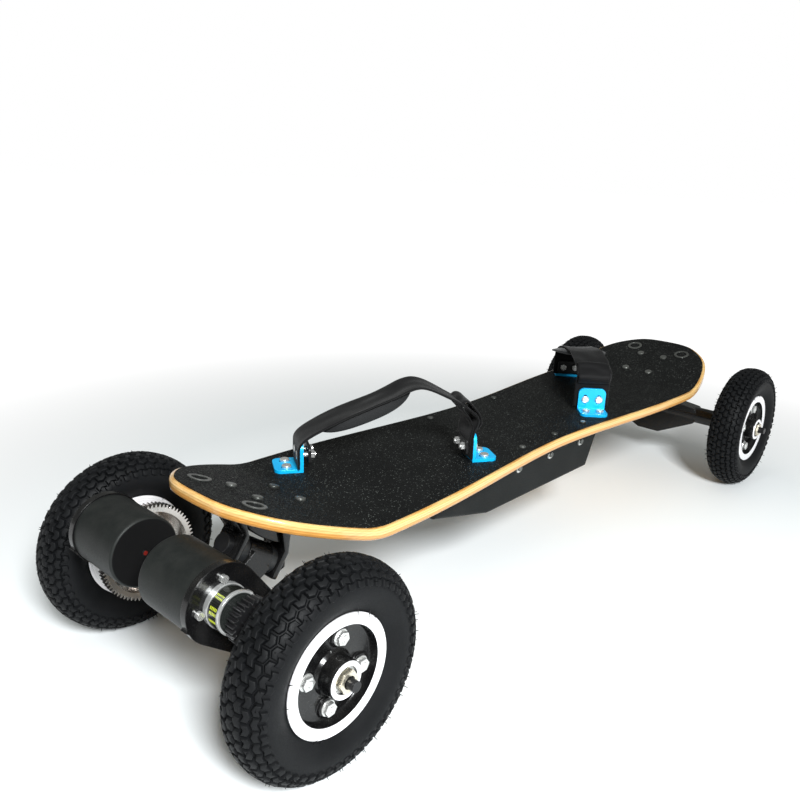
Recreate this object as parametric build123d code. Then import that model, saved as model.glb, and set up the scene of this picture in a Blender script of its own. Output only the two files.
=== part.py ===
from build123d import *
import os
from math import atan2, cos, degrees, hypot, pi, radians, sin, tan

# All-terrain electric skateboard. Millimetres, +X forward, +Y left, +Z up, ground at Z = 0.

# Overall layout
wheelbase = 960.0
track = 320.0
wheel_radius = 100.0
deck_top = 174.0

# Deck: a flat middle with a kick at each end, waisted between the feet
grip_thickness = 1.0
deck_thickness = 12.0
deck_length = 1004.0
deck_waist_width = 184.0
deck_widest_width = 228.0
deck_widest_at = 335.0
deck_nose_power = 2.5
kick_start = 369.0
kick_angle = 17.8
kick_radius = 125.0
deck_edge_round = 3.0
grip_inset = 1.5

# Truck: a baseplate with two legs that hold a tilted pivot bolt, and a hanger that rocks on it
baseplate_length = 92.0
baseplate_width = 62.0
baseplate_thickness = 8.0
baseplate_centre = 427.0
truck_bolt_spacing_along = 56.0
truck_bolt_spacing_across = 42.0
truck_bolt_offset = -7.0
truck_bolt_diameter = 6.0
pivot_angle = 35.0
pivot_inboard = 43.0
pivot_above_axle = 30.0
pivot_bolt_diameter = 12.0
pivot_barrel_length = 32.0
pivot_barrel_radius = 16.0
bushing_length = 9.0
bushing_radius = 15.0
leg_thickness = 9.0
leg_width = 30.0
hanger_thickness = 26.0
hanger_drop = 44.0
hanger_rise = 20.0
hanger_corner = 5.0
neck_half_width = 20.0
neck_half_top = 15.0
neck_half_foot = 12.0
bushing_room = 3.0
beam_radius = 14.0
beam_half_length = 112.0
gusset_half_length = 82.0
axle_diameter = 12.0
axle_stub_diameter = 10.0
axle_end = 197.5
axle_sleeve_radius = 9.5
axle_nut_radius = 10.5
axle_nut_height = 7.0

# Wheel: a 200 x 50 pneumatic tyre on a two-part dished hub
tyre_width = 50.0
tyre_wall = 6.0
rim_radius = 56.2
rim_face = 17.8
rim_ring_inner_radius = 45.5
rim_wall = 3.5
dish_face = 10.0
boss_radius = 17.5
boss_face = 25.8
boss_mouth_radius = 12.5
bearing_outer_radius = 14.0
bearing_width = 8.0
bearing_face = 22.0
hub_bolt_circle_radius = 32.0
hub_bolt_diameter = 8.0
hub_bolt_count = 4
hub_bolt_first_angle = 78.0
hub_bolt_head_across = 18.5
hub_nut_across = 15.0
hub_bolt_head_height = 5.0

# Drive: spur gear on each rear wheel, pinion out of an offset gearhead on each motor
gear_module = 1.5
gear_teeth = 70
pinion_teeth = 26
gear_face_width = 10.0
gear_inset = 36.0
gear_backlash = 0.3
gear_plate = 3.0
gear_plate_bore = 22.0
gear_plate_radius = 41.5
gear_rim_depth = 4.0
motor_angle = 135.0
motor_distance = 82.5
motor_radius = 34.5
motor_wall = 2.5
motor_inner_end = 23.0
motor_outer_end = 91.0
mount_thickness = 7.0
mount_boss_length = 14.0
mount_boss_radius = 24.0
mount_heel_reach = 100.0
mount_heel_drop = 34.0
mount_slit = 3.0
pinch_bolt_diameter = 5.0
pinch_bolt_radius = 19.0
gearhead_radius = 19.0
gearhead_core_radius = 17.5
gearhead_flange = 5.0
gearhead_ring = 3.0
gearhead_end = 118.0
motor_screw_circle_radius = 24.0
motor_screw_diameter = 4.0
pinion_shaft_diameter = 10.0

# Battery box under the deck
box_half_width = 82.0
box_wall = 3.0
box_flange = 6.0
box_flange_thickness = 3.0
gasket_thickness = 1.0
box_bottom = 108.0
box_floor_rear = -145.0
box_floor_front = 88.0
box_ramp_rear = -246.0
box_ramp_height = 24.0
box_top_rear = -262.0
box_top_front = 114.0
box_screw_places = (-72.0, 3.0, 76.0)
box_clip_places = (-87.0, -15.0, 62.0)
box_screw_diameter = 5.0
box_screw_inset = 3.0
box_clip_size = 8.5
box_clip_thickness = 2.0
box_clip_screw_diameter = 4.0
button_place = (-20.0, 128.0)
button_radius = 7.0
button_travel = 1.5
button_stand_out = 3.5
port_place = (30.0, 128.0)
port_radius = 7.5
port_bore_radius = 5.0
pack_length = 145.0
pack_height = 38.0
pack_side_room = 19.0
controller_length = 64.0
controller_height = 24.0
controller_side_room = 37.0

# Foot straps: each runs between two angle brackets, turned on the deck for the rider's stance
strap_width = 50.0
strap_thickness = 5.0
pad_width = 77.0
pad_thickness = 12.0
bracket_width = 39.0
bracket_height = 34.0
bracket_reach = 32.0
bracket_thickness = 4.0
strap_bolt_diameter = 6.0
strap_plate_thickness = 3.0
strap_plate_height = 20.0
strap_foot_height = 37.0
strap_peak_shift = 30.0
strap_shoulder_height = 58.0
strap_shoulder_out = 6.5
pad_length = 92.0
pad_corner = 12.0
pad_centre_share = 0.46
ring_place = (468.0, 44.0)
ring_radius = 12.0
ring_bore_radius = 8.5
ring_thickness = 1.0
rear_strap_place = (-235.0, 5.0)
rear_strap_turn = -33.0
rear_strap_span = 200.0
rear_strap_peak = 97.0
front_strap_place = (206.0, 8.0)
front_strap_turn = 221.0
front_strap_span = 190.0
front_strap_peak = 74.0

# Clearances
running_gap = 0.06
side_gap = 0.2
soft_gap = 0.3
bolt_gap = 0.25

# Values that follow
half_base = wheelbase / 2
half_track = track / 2
wood_top = deck_top - grip_thickness
deck_bottom = wood_top - deck_thickness
kick = radians(kick_angle)
tilt = radians(pivot_angle)
pivot_x = half_base - pivot_inboard
pivot_z = wheel_radius + pivot_above_axle
box_top = deck_bottom - gasket_thickness
gear_plane = half_track - gear_inset
gear_radius = gear_module * gear_teeth / 2
pinion_radius = gear_module * pinion_teeth / 2
motor_turn = radians(motor_angle)
motor_x = -half_base + motor_distance * cos(motor_turn)
motor_z = wheel_radius + motor_distance * sin(motor_turn)
pinion_x = -half_base + (gear_radius + pinion_radius) * cos(motor_turn)
pinion_z = wheel_radius + (gear_radius + pinion_radius) * sin(motor_turn)
mount_outer = motor_outer_end + mount_thickness
mount_inner = mount_outer - mount_boss_length
leg_near = pivot_barrel_length / 2 + side_gap + bushing_length
leg_far = leg_near + leg_thickness


def group(*shapes):
    """Separate solids that share one node."""
    return Compound([solid for shape in shapes for solid in shape.solids()])


def to_rear(shape):
    return shape.mirror(Plane.YZ)


def to_right(shape):
    return shape.mirror(Plane.XZ)


def rod(radius, y_start, y_end, x=0.0, z=0.0):
    """A cylinder along Y."""
    low = min(y_start, y_end)
    bar = extrude(Plane.XZ * Circle(radius), amount=-abs(y_end - y_start))
    return Pos(x, low, z) * bar


def tube(outer, inner, y_start, y_end, x=0.0, z=0.0):
    return rod(outer, y_start, y_end, x, z) - rod(inner, y_start - 1, y_end + 1, x, z)


def side_slab(points, y_start, y_end):
    """A polygon in the XZ plane, given a thickness along Y."""
    face = make_face(Polyline(*[(x, z) for x, z in points], close=True))
    slab = extrude(Plane.XZ * face, amount=-abs(y_end - y_start))
    return Pos(0, min(y_start, y_end), 0) * slab


def turned(points):
    """A section of (radius, y) points turned once round the Y axis."""
    face = make_face(Polyline(*points, close=True))
    return revolve(face, Axis.Y, 360)


# ---------------------------------------------------------------- deck


def deck_outline(inset):
    """Plan of the deck, drawn in from the edge by inset."""
    waist = deck_waist_width / 2 - inset
    widest = deck_widest_width / 2 - inset
    tip = deck_length / 2 - inset
    nose_length = tip - deck_widest_at
    steps = [0.35, 0.6, 0.8, 0.92]

    def nose(x_sign, y_sign):
        bend = [(0.0, 1.0)]
        bend += [(u, (1 - u**deck_nose_power) ** (1 / deck_nose_power)) for u in steps]
        bend += [(1.0, 0.0)]
        points = [(x_sign * (deck_widest_at + u * nose_length), y_sign * v * widest) for u, v in bend]
        return Spline(*points, tangents=[(x_sign, 0), (0, -y_sign)])

    def waist_side(y_sign):
        shape = [(-deck_widest_at, widest), (0, waist), (deck_widest_at, widest)]
        return Spline(*[(x, y_sign * y) for x, y in shape], tangents=[(1, 0), (1, 0)])

    sides = [waist_side(1), waist_side(-1)]
    noses = [nose(x_sign, y_sign) for x_sign in (-1, 1) for y_sign in (-1, 1)]
    return make_face(Wire(edges_of(sides + noses)))


def edges_of(lines):
    return [edge for line in lines for edge in line.edges()]


def kick_line(height):
    """The deck's side view line at a height above its bottom face."""
    corner = kick_start - height * tan(kick / 2)
    level = deck_bottom + height
    reach = deck_length / 2 + 40.0
    end_level = level + (reach - corner) * tan(kick)
    points = [(-reach, end_level), (-corner, level), (corner, level), (reach, end_level)]
    return FilletPolyline(*points, radius=kick_radius - height)


def deck_layer(low, high, inset):
    """A sheet that follows the kicks between two heights above the deck's bottom face."""
    under = kick_line(low)
    over = kick_line(high)
    ends = [Line(under @ 0, over @ 0), Line(under @ 1, over @ 1)]
    profile = make_face(Wire(edges_of([under, over] + ends)))
    sheet = extrude(Plane.XZ * profile, amount=deck_widest_width, both=True)
    outline = extrude(deck_outline(inset), amount=deck_top * 2)
    return sheet & outline


def kick_plane(along):
    """A plane on the front kick's bottom face, its Z straight out of the deck's top."""
    z = deck_bottom + (along - kick_start) * tan(kick)
    out = (-sin(kick), 0, cos(kick))
    return Plane(origin=(along, 0, z), x_dir=(cos(kick), 0, sin(kick)), z_dir=out)


def truck_holes():
    """Where the truck bolts stand on the baseplate, in the kick plane."""
    return [
        (truck_bolt_offset + sx * truck_bolt_spacing_along / 2, sy * truck_bolt_spacing_across / 2)
        for sx in (-1, 1)
        for sy in (-1, 1)
    ]


def on_kick(shape_at, low, high):
    """Four upright cylinders through the kick at the truck holes, at both ends of the deck."""
    plane = kick_plane(baseplate_centre)
    drills = [plane * Pos(x, y, low) * shape_at(high - low) for x, y in truck_holes()]
    return drills + [to_rear(drill) for drill in drills]


def upright(radius):
    def build(height):
        return Cylinder(radius, height, align=(Align.CENTER, Align.CENTER, Align.MIN))

    return build


def box_screw_row():
    side = box_half_width - box_wall - box_screw_inset
    return [(x, y) for x in box_screw_places for y in (-side, side)]


def bracket_bolt_places():
    """Deck bolt centres of all four strap brackets."""
    places = []
    for place, turn, span, peak in strap_sets():
        frame = strap_frame(place, turn)
        for end in (-1, 1):
            for side in (-1, 1):
                spot = frame * Pos(end * base_bolt_x(span / 2), side * bracket_width / 4, 0)
                places.append((spot.position.X, spot.position.Y))
    return places


def deck_drills(extra):
    """Everything that passes through the deck, each opened by extra on the radius."""
    bolt = truck_bolt_diameter / 2 + extra
    drills = on_kick(upright(bolt), -5.0, deck_thickness + 10.0)
    for x, y in box_screw_row():
        drills.append(through_deck(box_screw_diameter / 2 + extra, x, y))
    for x, y in bracket_bolt_places():
        drills.append(through_deck(strap_bolt_diameter / 2 + extra, x, y))
    return drills


def through_deck(radius, x, y):
    return Pos(x, y, deck_bottom - 2) * upright(radius)(deck_thickness + 10)


def deck():
    wood = deck_layer(0, deck_thickness, 0)
    wood = fillet(wood.edges().filter_by(follows_outline), deck_edge_round)
    for drill in deck_drills(bolt_gap):
        wood -= drill
    return wood


def follows_outline(edge):
    """True for the top and bottom rims, not for bend lines across the deck or upright seams."""
    middle = edge.tangent_at(0.5)
    is_bend = abs(middle.Y) > 0.98 and abs(edge.center().Y) < 1.0
    return not is_bend and abs(middle.Z) < 0.7


def grip_tape():
    sheet = deck_layer(deck_thickness, deck_thickness + grip_thickness, deck_edge_round + grip_inset)
    for drill in deck_drills(bolt_gap):
        sheet -= drill
    return sheet


def hex_nut(across, height):
    """A nut standing on Z = 0, across its corners."""
    return extrude(RegularPolygon(across / 2, 6), amount=height)


def pan_head(radius, height):
    head = upright(radius)(height)
    return fillet(head.edges().sort_by(Axis.Z)[-1:], height * 0.45)


def truck_bolts():
    """Pan-headed bolts down through the deck and the baseplate, with nuts below."""
    radius = truck_bolt_diameter / 2
    head_at = deck_thickness + grip_thickness
    nut_height = 5.0
    tail_at = -baseplate_thickness - nut_height - 2.0
    pieces = []
    for x, y in truck_holes():
        spot = kick_plane(baseplate_centre) * Pos(x, y, 0)
        bolt = Pos(0, 0, tail_at) * upright(radius)(head_at - tail_at)
        bolt += Pos(0, 0, head_at) * pan_head(radius * 1.9, 2.4)
        nut = hex_nut(truck_bolt_diameter * 1.8, nut_height)
        nut -= Pos(0, 0, -1) * upright(radius + running_gap)(nut_height + 2)
        nut = Pos(0, 0, -baseplate_thickness - nut_height) * nut
        pieces += [spot * bolt, spot * nut]
    return group(*pieces, *[to_rear(piece) for piece in pieces])


def tip_rings():
    """Four flat eyelets set on the grip near the tips."""
    x, y = ring_place
    plane = kick_plane(x)
    ring = upright(ring_radius)(ring_thickness)
    ring -= Pos(0, 0, -1) * upright(ring_bore_radius)(ring_thickness + 2)
    rings = [plane * Pos(0, sy * y, deck_thickness + grip_thickness) * ring for sy in (-1, 1)]
    return group(*rings, *[to_rear(piece) for piece in rings])


# ---------------------------------------------------------------- trucks


def kick_point(along, up):
    plane = kick_plane(baseplate_centre)
    spot = plane.from_local_coords((along, 0, up))
    return (spot.X, spot.Z)


def pivot_point(along, up):
    """A point by its distance along the pivot bolt and square to it, in the XZ plane."""
    x = pivot_x + along * cos(tilt) - up * sin(tilt)
    z = pivot_z + along * sin(tilt) + up * cos(tilt)
    return (x, z)


def pivot_rod(radius, start, end):
    """A cylinder along the front pivot bolt's axis."""
    plane = Plane(origin=(pivot_x, 0, pivot_z), x_dir=(0, 1, 0), z_dir=(cos(tilt), 0, sin(tilt)))
    return plane * Pos(0, 0, start) * upright(radius)(end - start)


def front_baseplate():
    half = baseplate_thickness / 2
    plate = Box(baseplate_length, baseplate_width, baseplate_thickness)
    plate = fillet(plate.edges().filter_by(Axis.Z), 9.0)
    plate = kick_plane(baseplate_centre) * Pos(0, 0, -half) * plate
    inboard = [
        pivot_point(-leg_near, -bushing_radius),
        pivot_point(-leg_near, bushing_radius),
        kick_point(-16, -half),
        kick_point(-34, -half),
        pivot_point(-leg_far, bushing_radius),
        pivot_point(-leg_far, -bushing_radius),
    ]
    outboard = [
        pivot_point(leg_near, -bushing_radius),
        pivot_point(leg_near, bushing_radius),
        kick_point(26, -half),
        kick_point(43, -half),
        pivot_point(leg_far, bushing_radius),
        pivot_point(leg_far, -bushing_radius),
    ]
    casting = plate
    for outline in (inboard, outboard):
        leg = side_slab(outline, -leg_width / 2, leg_width / 2)
        casting += leg
    casting -= pivot_rod(pivot_bolt_diameter / 2 + bolt_gap, -leg_far - 20, leg_far + 20)
    for x, y in truck_holes():
        drill = upright(truck_bolt_diameter / 2 + bolt_gap)(baseplate_thickness * 3)
        casting -= kick_plane(baseplate_centre) * Pos(x, y, -baseplate_thickness * 2) * drill
    return casting


def pivot_bolts():
    """A shouldered bolt through both legs of each baseplate, its nut on the inboard end."""
    radius = pivot_bolt_diameter / 2
    nut_height = 9.0
    bolt = pivot_rod(radius, -leg_far - nut_height - 3, leg_far)
    bolt += pivot_rod(radius * 1.7, leg_far, leg_far + 7)
    plane = Plane(origin=(pivot_x, 0, pivot_z), x_dir=(0, 1, 0), z_dir=(cos(tilt), 0, sin(tilt)))
    nut = plane * Pos(0, 0, -leg_far - nut_height) * hex_nut(pivot_bolt_diameter * 1.75, nut_height)
    nut -= pivot_rod(radius + running_gap, -leg_far - nut_height - 1, -leg_far + 1)
    return group(bolt, nut, to_rear(bolt), to_rear(nut))


def truck_bushings():
    """Elastomer rings that press the hanger back to the middle, one against each leg."""
    bore = pivot_bolt_diameter / 2 + side_gap
    inner = pivot_barrel_length / 2 + side_gap
    rings = []
    for low, high in ((-leg_near, -inner), (inner, leg_near)):
        rings.append(pivot_rod(bushing_radius, low, high) - pivot_rod(bore, low - 1, high + 1))
    return group(*rings, *[to_rear(ring) for ring in rings])


def front_hanger():
    """Cast beam with a deep triangular middle, a neck and a barrel round the pivot bolt."""
    outline = [
        (-gusset_half_length, beam_radius - 1),
        (-gusset_half_length * 0.3, hanger_rise),
        (gusset_half_length * 0.3, hanger_rise),
        (gusset_half_length, beam_radius - 1),
        (gusset_half_length, -beam_radius + 1),
        (hanger_thickness * 0.75, -hanger_drop),
        (-hanger_thickness * 0.75, -hanger_drop),
        (-gusset_half_length, -beam_radius + 1),
    ]
    face = make_face(Polyline(*outline, close=True))
    web = extrude(Plane.YZ * face, amount=hanger_thickness / 2, both=True)
    web = fillet(web.edges().filter_by(Axis.X), hanger_corner)
    web = Pos(half_base, 0, wheel_radius) * web
    reach = hypot(pivot_inboard, pivot_above_axle)
    px = pivot_above_axle / reach
    pz = pivot_inboard / reach
    neck_outline = [
        (pivot_x + neck_half_top * px, pivot_z + neck_half_top * pz),
        (half_base + neck_half_foot * px, wheel_radius + neck_half_foot * pz),
        (half_base - neck_half_foot * px, wheel_radius - neck_half_foot * pz),
        (pivot_x - neck_half_top * px, pivot_z - neck_half_top * pz),
    ]
    neck = side_slab(neck_outline, -neck_half_width, neck_half_width)
    barrel_end = pivot_barrel_length / 2
    clear = bushing_radius + bushing_room
    neck -= pivot_rod(clear, barrel_end, barrel_end + 60)
    neck -= pivot_rod(clear, -barrel_end - 60, -barrel_end)
    casting = web + neck
    casting += rod(beam_radius, -beam_half_length, beam_half_length, half_base, wheel_radius)
    casting += pivot_rod(pivot_barrel_radius, -barrel_end, barrel_end)
    casting -= pivot_rod(pivot_bolt_diameter / 2 + running_gap, -barrel_end - 5, barrel_end + 5)
    bore = axle_diameter / 2 + running_gap
    casting -= rod(bore, -beam_half_length - 1, beam_half_length + 1, half_base, wheel_radius)
    return casting


def front_axle():
    shoulder = half_track + boss_face
    bar = rod(axle_diameter / 2, -shoulder, shoulder, half_base, wheel_radius)
    bar += rod(axle_stub_diameter / 2, -axle_end, axle_end, half_base, wheel_radius)
    return bar


def front_axle_nuts():
    """A sleeve from the hanger to each inner bearing and a nut on each outer one."""
    bore = axle_diameter / 2 + running_gap
    sleeve_end = half_track - bearing_face - side_gap
    sleeve = tube(axle_sleeve_radius, bore, beam_half_length, sleeve_end, half_base, wheel_radius)
    nut_at = half_track + bearing_face + side_gap
    nut_face = Plane.XZ * RegularPolygon(axle_nut_radius, 6)
    nut = Pos(half_base, nut_at, wheel_radius) * extrude(nut_face, amount=-axle_nut_height)
    nut -= rod(bore, nut_at - 1, nut_at + axle_nut_height + 1, half_base, wheel_radius)
    return group(sleeve, nut, to_right(sleeve), to_right(nut))


# ---------------------------------------------------------------- wheels


def bolt_circle():
    step = 2 * pi / hub_bolt_count
    turn = radians(hub_bolt_first_angle)
    return [
        (hub_bolt_circle_radius * cos(turn + i * step), hub_bolt_circle_radius * sin(turn + i * step))
        for i in range(hub_bolt_count)
    ]


def tyre():
    """A hollow carcass on the wheel's mid-plane, open to the rim."""
    bead = rim_radius - 2.0
    bead_half = rim_face - 3.2
    half = tyre_width / 2
    outer_side = [
        (bead, bead_half),
        (rim_radius + 3.5, bead_half + 1.5),
        (wheel_radius * 0.77, half),
        (wheel_radius * 0.91, half * 0.8),
        (wheel_radius, 0),
    ]
    inner_side = [
        (bead, bead_half - tyre_wall),
        (rim_radius + 6, bead_half),
        (wheel_radius * 0.77, half - tyre_wall),
        (wheel_radius - tyre_wall - 2, 0),
    ]
    outer = Spline(*outer_side, *[(r, -y) for r, y in reversed(outer_side[:-1])])
    inner = Spline(*inner_side, *[(r, -y) for r, y in reversed(inner_side[:-1])])
    ends = [Line(outer @ 0, inner @ 0), Line(outer @ 1, inner @ 1)]
    section = make_face(Wire(edges_of([outer, inner] + ends)))
    return revolve(section, Axis.Y, 360)


def hub_half():
    """Dished outer half of the hub: bright ring, bolt face and bearing boss."""
    web = dish_face - rim_wall
    seat = rim_radius - 2.2
    section = [
        (bearing_outer_radius, web),
        (seat - rim_wall, web),
        (seat - rim_wall, 0),
        (seat, 0),
        (seat, rim_face - 2.6),
        (rim_radius, rim_face - 2.0),
        (rim_radius, rim_face),
        (rim_ring_inner_radius, rim_face),
        (rim_ring_inner_radius, dish_face),
        (boss_radius, dish_face),
        (boss_radius, boss_face),
        (boss_mouth_radius, boss_face),
        (boss_mouth_radius, bearing_face),
        (bearing_outer_radius, bearing_face),
    ]
    half = turned(section)
    for x, z in bolt_circle():
        half += rod(hub_bolt_diameter, 0, web, x, z)
    for x, z in bolt_circle():
        half -= rod(hub_bolt_diameter / 2 + bolt_gap, -1, rim_face, x, z)
    return half


def hub():
    half = hub_half()
    return group(half, to_right(half))


def bearings():
    """Two sealed ball bearings and the spacer between their inner rings."""
    bore = axle_diameter / 2 + running_gap
    outer = bearing_outer_radius
    low = bearing_face - bearing_width
    groove = 0.6
    section = [
        (bore, low),
        (bore + 2.2, low),
        (bore + 2.2, low + groove),
        (outer - 2.2, low + groove),
        (outer - 2.2, low),
        (outer, low),
        (outer, bearing_face),
        (outer - 2.2, bearing_face),
        (outer - 2.2, bearing_face - groove),
        (bore + 2.2, bearing_face - groove),
        (bore + 2.2, bearing_face),
        (bore, bearing_face),
    ]
    ring = turned(section)
    spacer = tube(bore + 2.0, bore, -low, low)
    return group(ring, to_right(ring), spacer)


def hub_bolts(inner_stack):
    """Through-bolts with nuts, clamping whatever stands inner_stack thick on the inner face."""
    radius = hub_bolt_diameter / 2
    head_height = hub_bolt_head_height
    back = -dish_face - inner_stack
    pieces = []
    for x, z in bolt_circle():
        head_face = Plane.XZ * RegularPolygon(hub_bolt_head_across / 2, 6)
        nut_face = Plane.XZ * RegularPolygon(hub_nut_across / 2, 6)
        head = Pos(x, dish_face, z) * extrude(head_face, amount=-head_height)
        shank = rod(radius, back - head_height - 1.5, dish_face, x, z)
        nut = Pos(x, back - head_height, z) * extrude(nut_face, amount=-head_height)
        nut -= rod(radius + running_gap, back - head_height - 1, back + 1, x, z)
        pieces += [head + shank, nut]
    return group(*pieces)


# ---------------------------------------------------------------- drive


def spur_face(teeth, first_angle):
    """Outline of a spur gear in the XZ plane, one tooth centred on first_angle."""
    pitch_radius = gear_module * teeth / 2
    half_tooth = (pi * gear_module / 2 - gear_backlash) / 2
    slope = tan(radians(20))
    tip = pitch_radius + gear_module
    root = pitch_radius - 1.25 * gear_module
    half_tip = (half_tooth - gear_module * slope) / tip
    half_root = (half_tooth + 1.25 * gear_module * slope) / root
    corners = []
    for i in range(teeth):
        centre = first_angle + 2 * pi * i / teeth
        for radius, angle in (
            (root, centre - half_root),
            (tip, centre - half_tip),
            (tip, centre + half_tip),
            (root, centre + half_root),
        ):
            corners.append((radius * cos(angle), radius * sin(angle)))
    return make_face(Polyline(*corners, close=True))


def spur(teeth, first_angle, y_start, y_end):
    blank = extrude(Plane.XZ * spur_face(teeth, first_angle), amount=-(y_end - y_start))
    return Pos(0, y_start, 0) * blank


def drive_gear():
    """Toothed rim on a dished web that bolts to the hub's inner face. Wheel mid-plane at Y = 0."""
    near = -gear_inset + gear_face_width / 2
    far = -gear_inset - gear_face_width / 2
    back = -dish_face - gear_plate
    rim_bore = gear_radius - 1.25 * gear_module - gear_rim_depth
    web = turned([
        (gear_plate_bore, -dish_face),
        (gear_plate_radius, -dish_face),
        (rim_bore - 3.0, -rim_face - 2.0),
        (rim_bore + 1.5, near),
        (rim_bore + 1.5, far),
        (rim_bore - 1.0, far),
        (rim_bore - 1.0, near - 2.5),
        (rim_bore - 5.0, -rim_face - 3.5),
        (gear_plate_radius - 1.5, back),
        (gear_plate_bore, back),
    ])
    ring = spur(gear_teeth, motor_turn, far, near) - rod(rim_bore, far - 1, near + 1)
    gear = ring + web
    for x, z in bolt_circle():
        gear -= rod(hub_bolt_diameter / 2 + bolt_gap, back - 1, -dish_face + 1, x, z)
    return gear


def left_pinion():
    """Pinion cut on its own shaft, which runs in the gearhead's offset bore."""
    start = gear_plane - gear_face_width / 2
    end = gear_plane + gear_face_width / 2
    gap_turn = motor_turn + pi + pi / pinion_teeth
    pinion = Pos(pinion_x, 0, pinion_z) * spur(pinion_teeth, gap_turn, start, end)
    shaft = rod(pinion_shaft_diameter / 2, mount_outer + 2, end + 1, pinion_x, pinion_z)
    return pinion + shaft


def left_gearhead():
    """Offset gearhead: flange on the mount, core for the pinion shaft and end ring."""
    start = mount_outer
    body = rod(gearhead_core_radius, start, gearhead_end, motor_x, motor_z)
    body += rod(gearhead_radius + 1, start, start + gearhead_flange, motor_x, motor_z)
    body += rod(gearhead_radius + 0.5, gearhead_end - gearhead_ring, gearhead_end, motor_x, motor_z)
    bore = pinion_shaft_diameter / 2 + running_gap
    return body - rod(bore, start + 1.5, gearhead_end + 1, pinion_x, pinion_z)


def gearhead_sleeves():
    """Thin wrap round the gearhead, between its flange and end ring."""
    low = mount_outer + gearhead_flange
    high = gearhead_end - gearhead_ring
    sleeve = tube(gearhead_radius, gearhead_core_radius, low, high, motor_x, motor_z)
    return group(sleeve, to_right(sleeve))


def motor_frame(along, across):
    """A point by its distance from the axle towards the motor and square to that line."""
    x = -half_base + along * cos(motor_turn) - across * sin(motor_turn)
    z = wheel_radius + along * sin(motor_turn) + across * cos(motor_turn)
    return (x, z)


def screw_circle():
    return [
        (
            motor_x + motor_screw_circle_radius * cos(motor_turn + pi / 4 + i * pi / 2),
            motor_z + motor_screw_circle_radius * sin(motor_turn + pi / 4 + i * pi / 2),
        )
        for i in range(4)
    ]


def pinch_rod(radius, start, end):
    """A cylinder along the pinch bolt, which crosses the slit square to it."""
    x, z = motor_frame(-pinch_bolt_radius, 0)
    direction = (-sin(motor_turn), 0, cos(motor_turn))
    middle = (mount_outer + mount_inner) / 2
    plane = Plane(origin=(x, middle, z), x_dir=(0, 1, 0), z_dir=direction)
    return plane * Pos(0, 0, start) * upright(radius)(end - start)


def left_motor_mount():
    """Plate from the axle beam to the motor, with a slit clamp round the beam."""
    end_circle = Pos(motor_x, motor_z) * Circle(motor_radius + 1.5)
    axle_circle = Pos(-half_base, wheel_radius) * Circle(mount_boss_radius)
    outline = make_hull(end_circle.edges() + axle_circle.edges())
    plate = Pos(0, motor_outer_end, 0) * extrude(Plane.XZ * outline, amount=-mount_thickness)
    heel = [
        motor_frame(motor_distance * 0.6, 0),
        motor_frame(mount_heel_reach, 0),
        motor_frame(mount_heel_reach, mount_heel_drop),
        motor_frame(motor_distance * 0.6, mount_heel_drop - 3),
    ]
    plate += side_slab(heel, motor_outer_end, mount_outer)
    plate += rod(mount_boss_radius, mount_inner, mount_outer, -half_base, wheel_radius)
    plate -= rod(beam_radius + running_gap, mount_inner - 1, mount_outer + 1, -half_base, wheel_radius)
    slit = [
        motor_frame(-beam_radius + 2, -mount_slit / 2),
        motor_frame(-beam_radius + 2, mount_slit / 2),
        motor_frame(-mount_boss_radius - 5, mount_slit / 2),
        motor_frame(-mount_boss_radius - 5, -mount_slit / 2),
    ]
    plate -= side_slab(slit, mount_inner - 1, mount_outer + 1)
    head_at = beam_radius - 2
    plate -= pinch_rod(pinch_bolt_diameter / 2 + bolt_gap, -40, 40)
    plate -= pinch_rod(pinch_bolt_diameter * 0.9, head_at - side_gap, 40)
    for x, z in screw_circle():
        plate -= rod(motor_screw_diameter / 2 + bolt_gap, motor_outer_end - 1, mount_outer + 1, x, z)
    return plate


def left_motor_can():
    """A cup with a closed inboard end, its mouth on the mount."""
    can = rod(motor_radius, motor_inner_end, motor_outer_end, motor_x, motor_z)
    can = fillet(can.edges().sort_by(Axis.Y)[:1], motor_wall)
    floor = motor_inner_end + motor_wall
    cup = can - rod(motor_radius - motor_wall, floor, motor_outer_end + 1, motor_x, motor_z)
    return cup + rod(motor_wall, motor_inner_end - 1, floor, motor_x, motor_z)


def motor_cores():
    """Windings and magnets as one block in each can, seated on the mount."""
    radius = motor_radius - motor_wall - soft_gap
    core = rod(radius, motor_inner_end + 9, motor_outer_end, motor_x, motor_z)
    for x, z in screw_circle():
        hole = motor_screw_diameter / 2 + running_gap
        core -= rod(hole, motor_outer_end - 8, motor_outer_end + 1, x, z)
    return group(core, to_right(core))


def motor_screws():
    """Screws through each mount into its motor, and the bolt that pinches each clamp."""
    radius = motor_screw_diameter / 2
    pieces = []
    for x, z in screw_circle():
        screw = rod(radius, motor_outer_end - 6, mount_outer, x, z)
        screw += rod(radius * 1.75, mount_outer, mount_outer + 4, x, z)
        pieces.append(screw)
    head_at = beam_radius - 2
    bolt = pinch_rod(pinch_bolt_diameter / 2, -head_at, head_at)
    bolt += pinch_rod(pinch_bolt_diameter * 0.82, head_at, head_at + 4.5)
    pieces.append(bolt)
    return group(*pieces, *[to_right(piece) for piece in pieces])


# ---------------------------------------------------------------- battery box


def box_profile(rise):
    """Side view of the battery box, its open top raised by rise."""
    return [
        (box_top_rear, box_top + rise),
        (box_ramp_rear, box_bottom + box_ramp_height),
        (box_floor_rear, box_bottom),
        (box_floor_front, box_bottom),
        (box_top_front, box_top + rise),
    ]


def box_opening(low):
    """Everything inside the box's walls, from its floor up through the flange."""
    face = make_face(Polyline(*box_profile(2 * box_wall), close=True))
    inner = offset(face, amount=-box_wall, kind=Kind.INTERSECTION)
    half = box_half_width - box_wall
    space = extrude(Plane.XZ * inner, amount=half, both=True)
    lid_line = Pos(0, 0, low + 200) * Box(1000, 1000, 400)
    return space & lid_line


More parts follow.
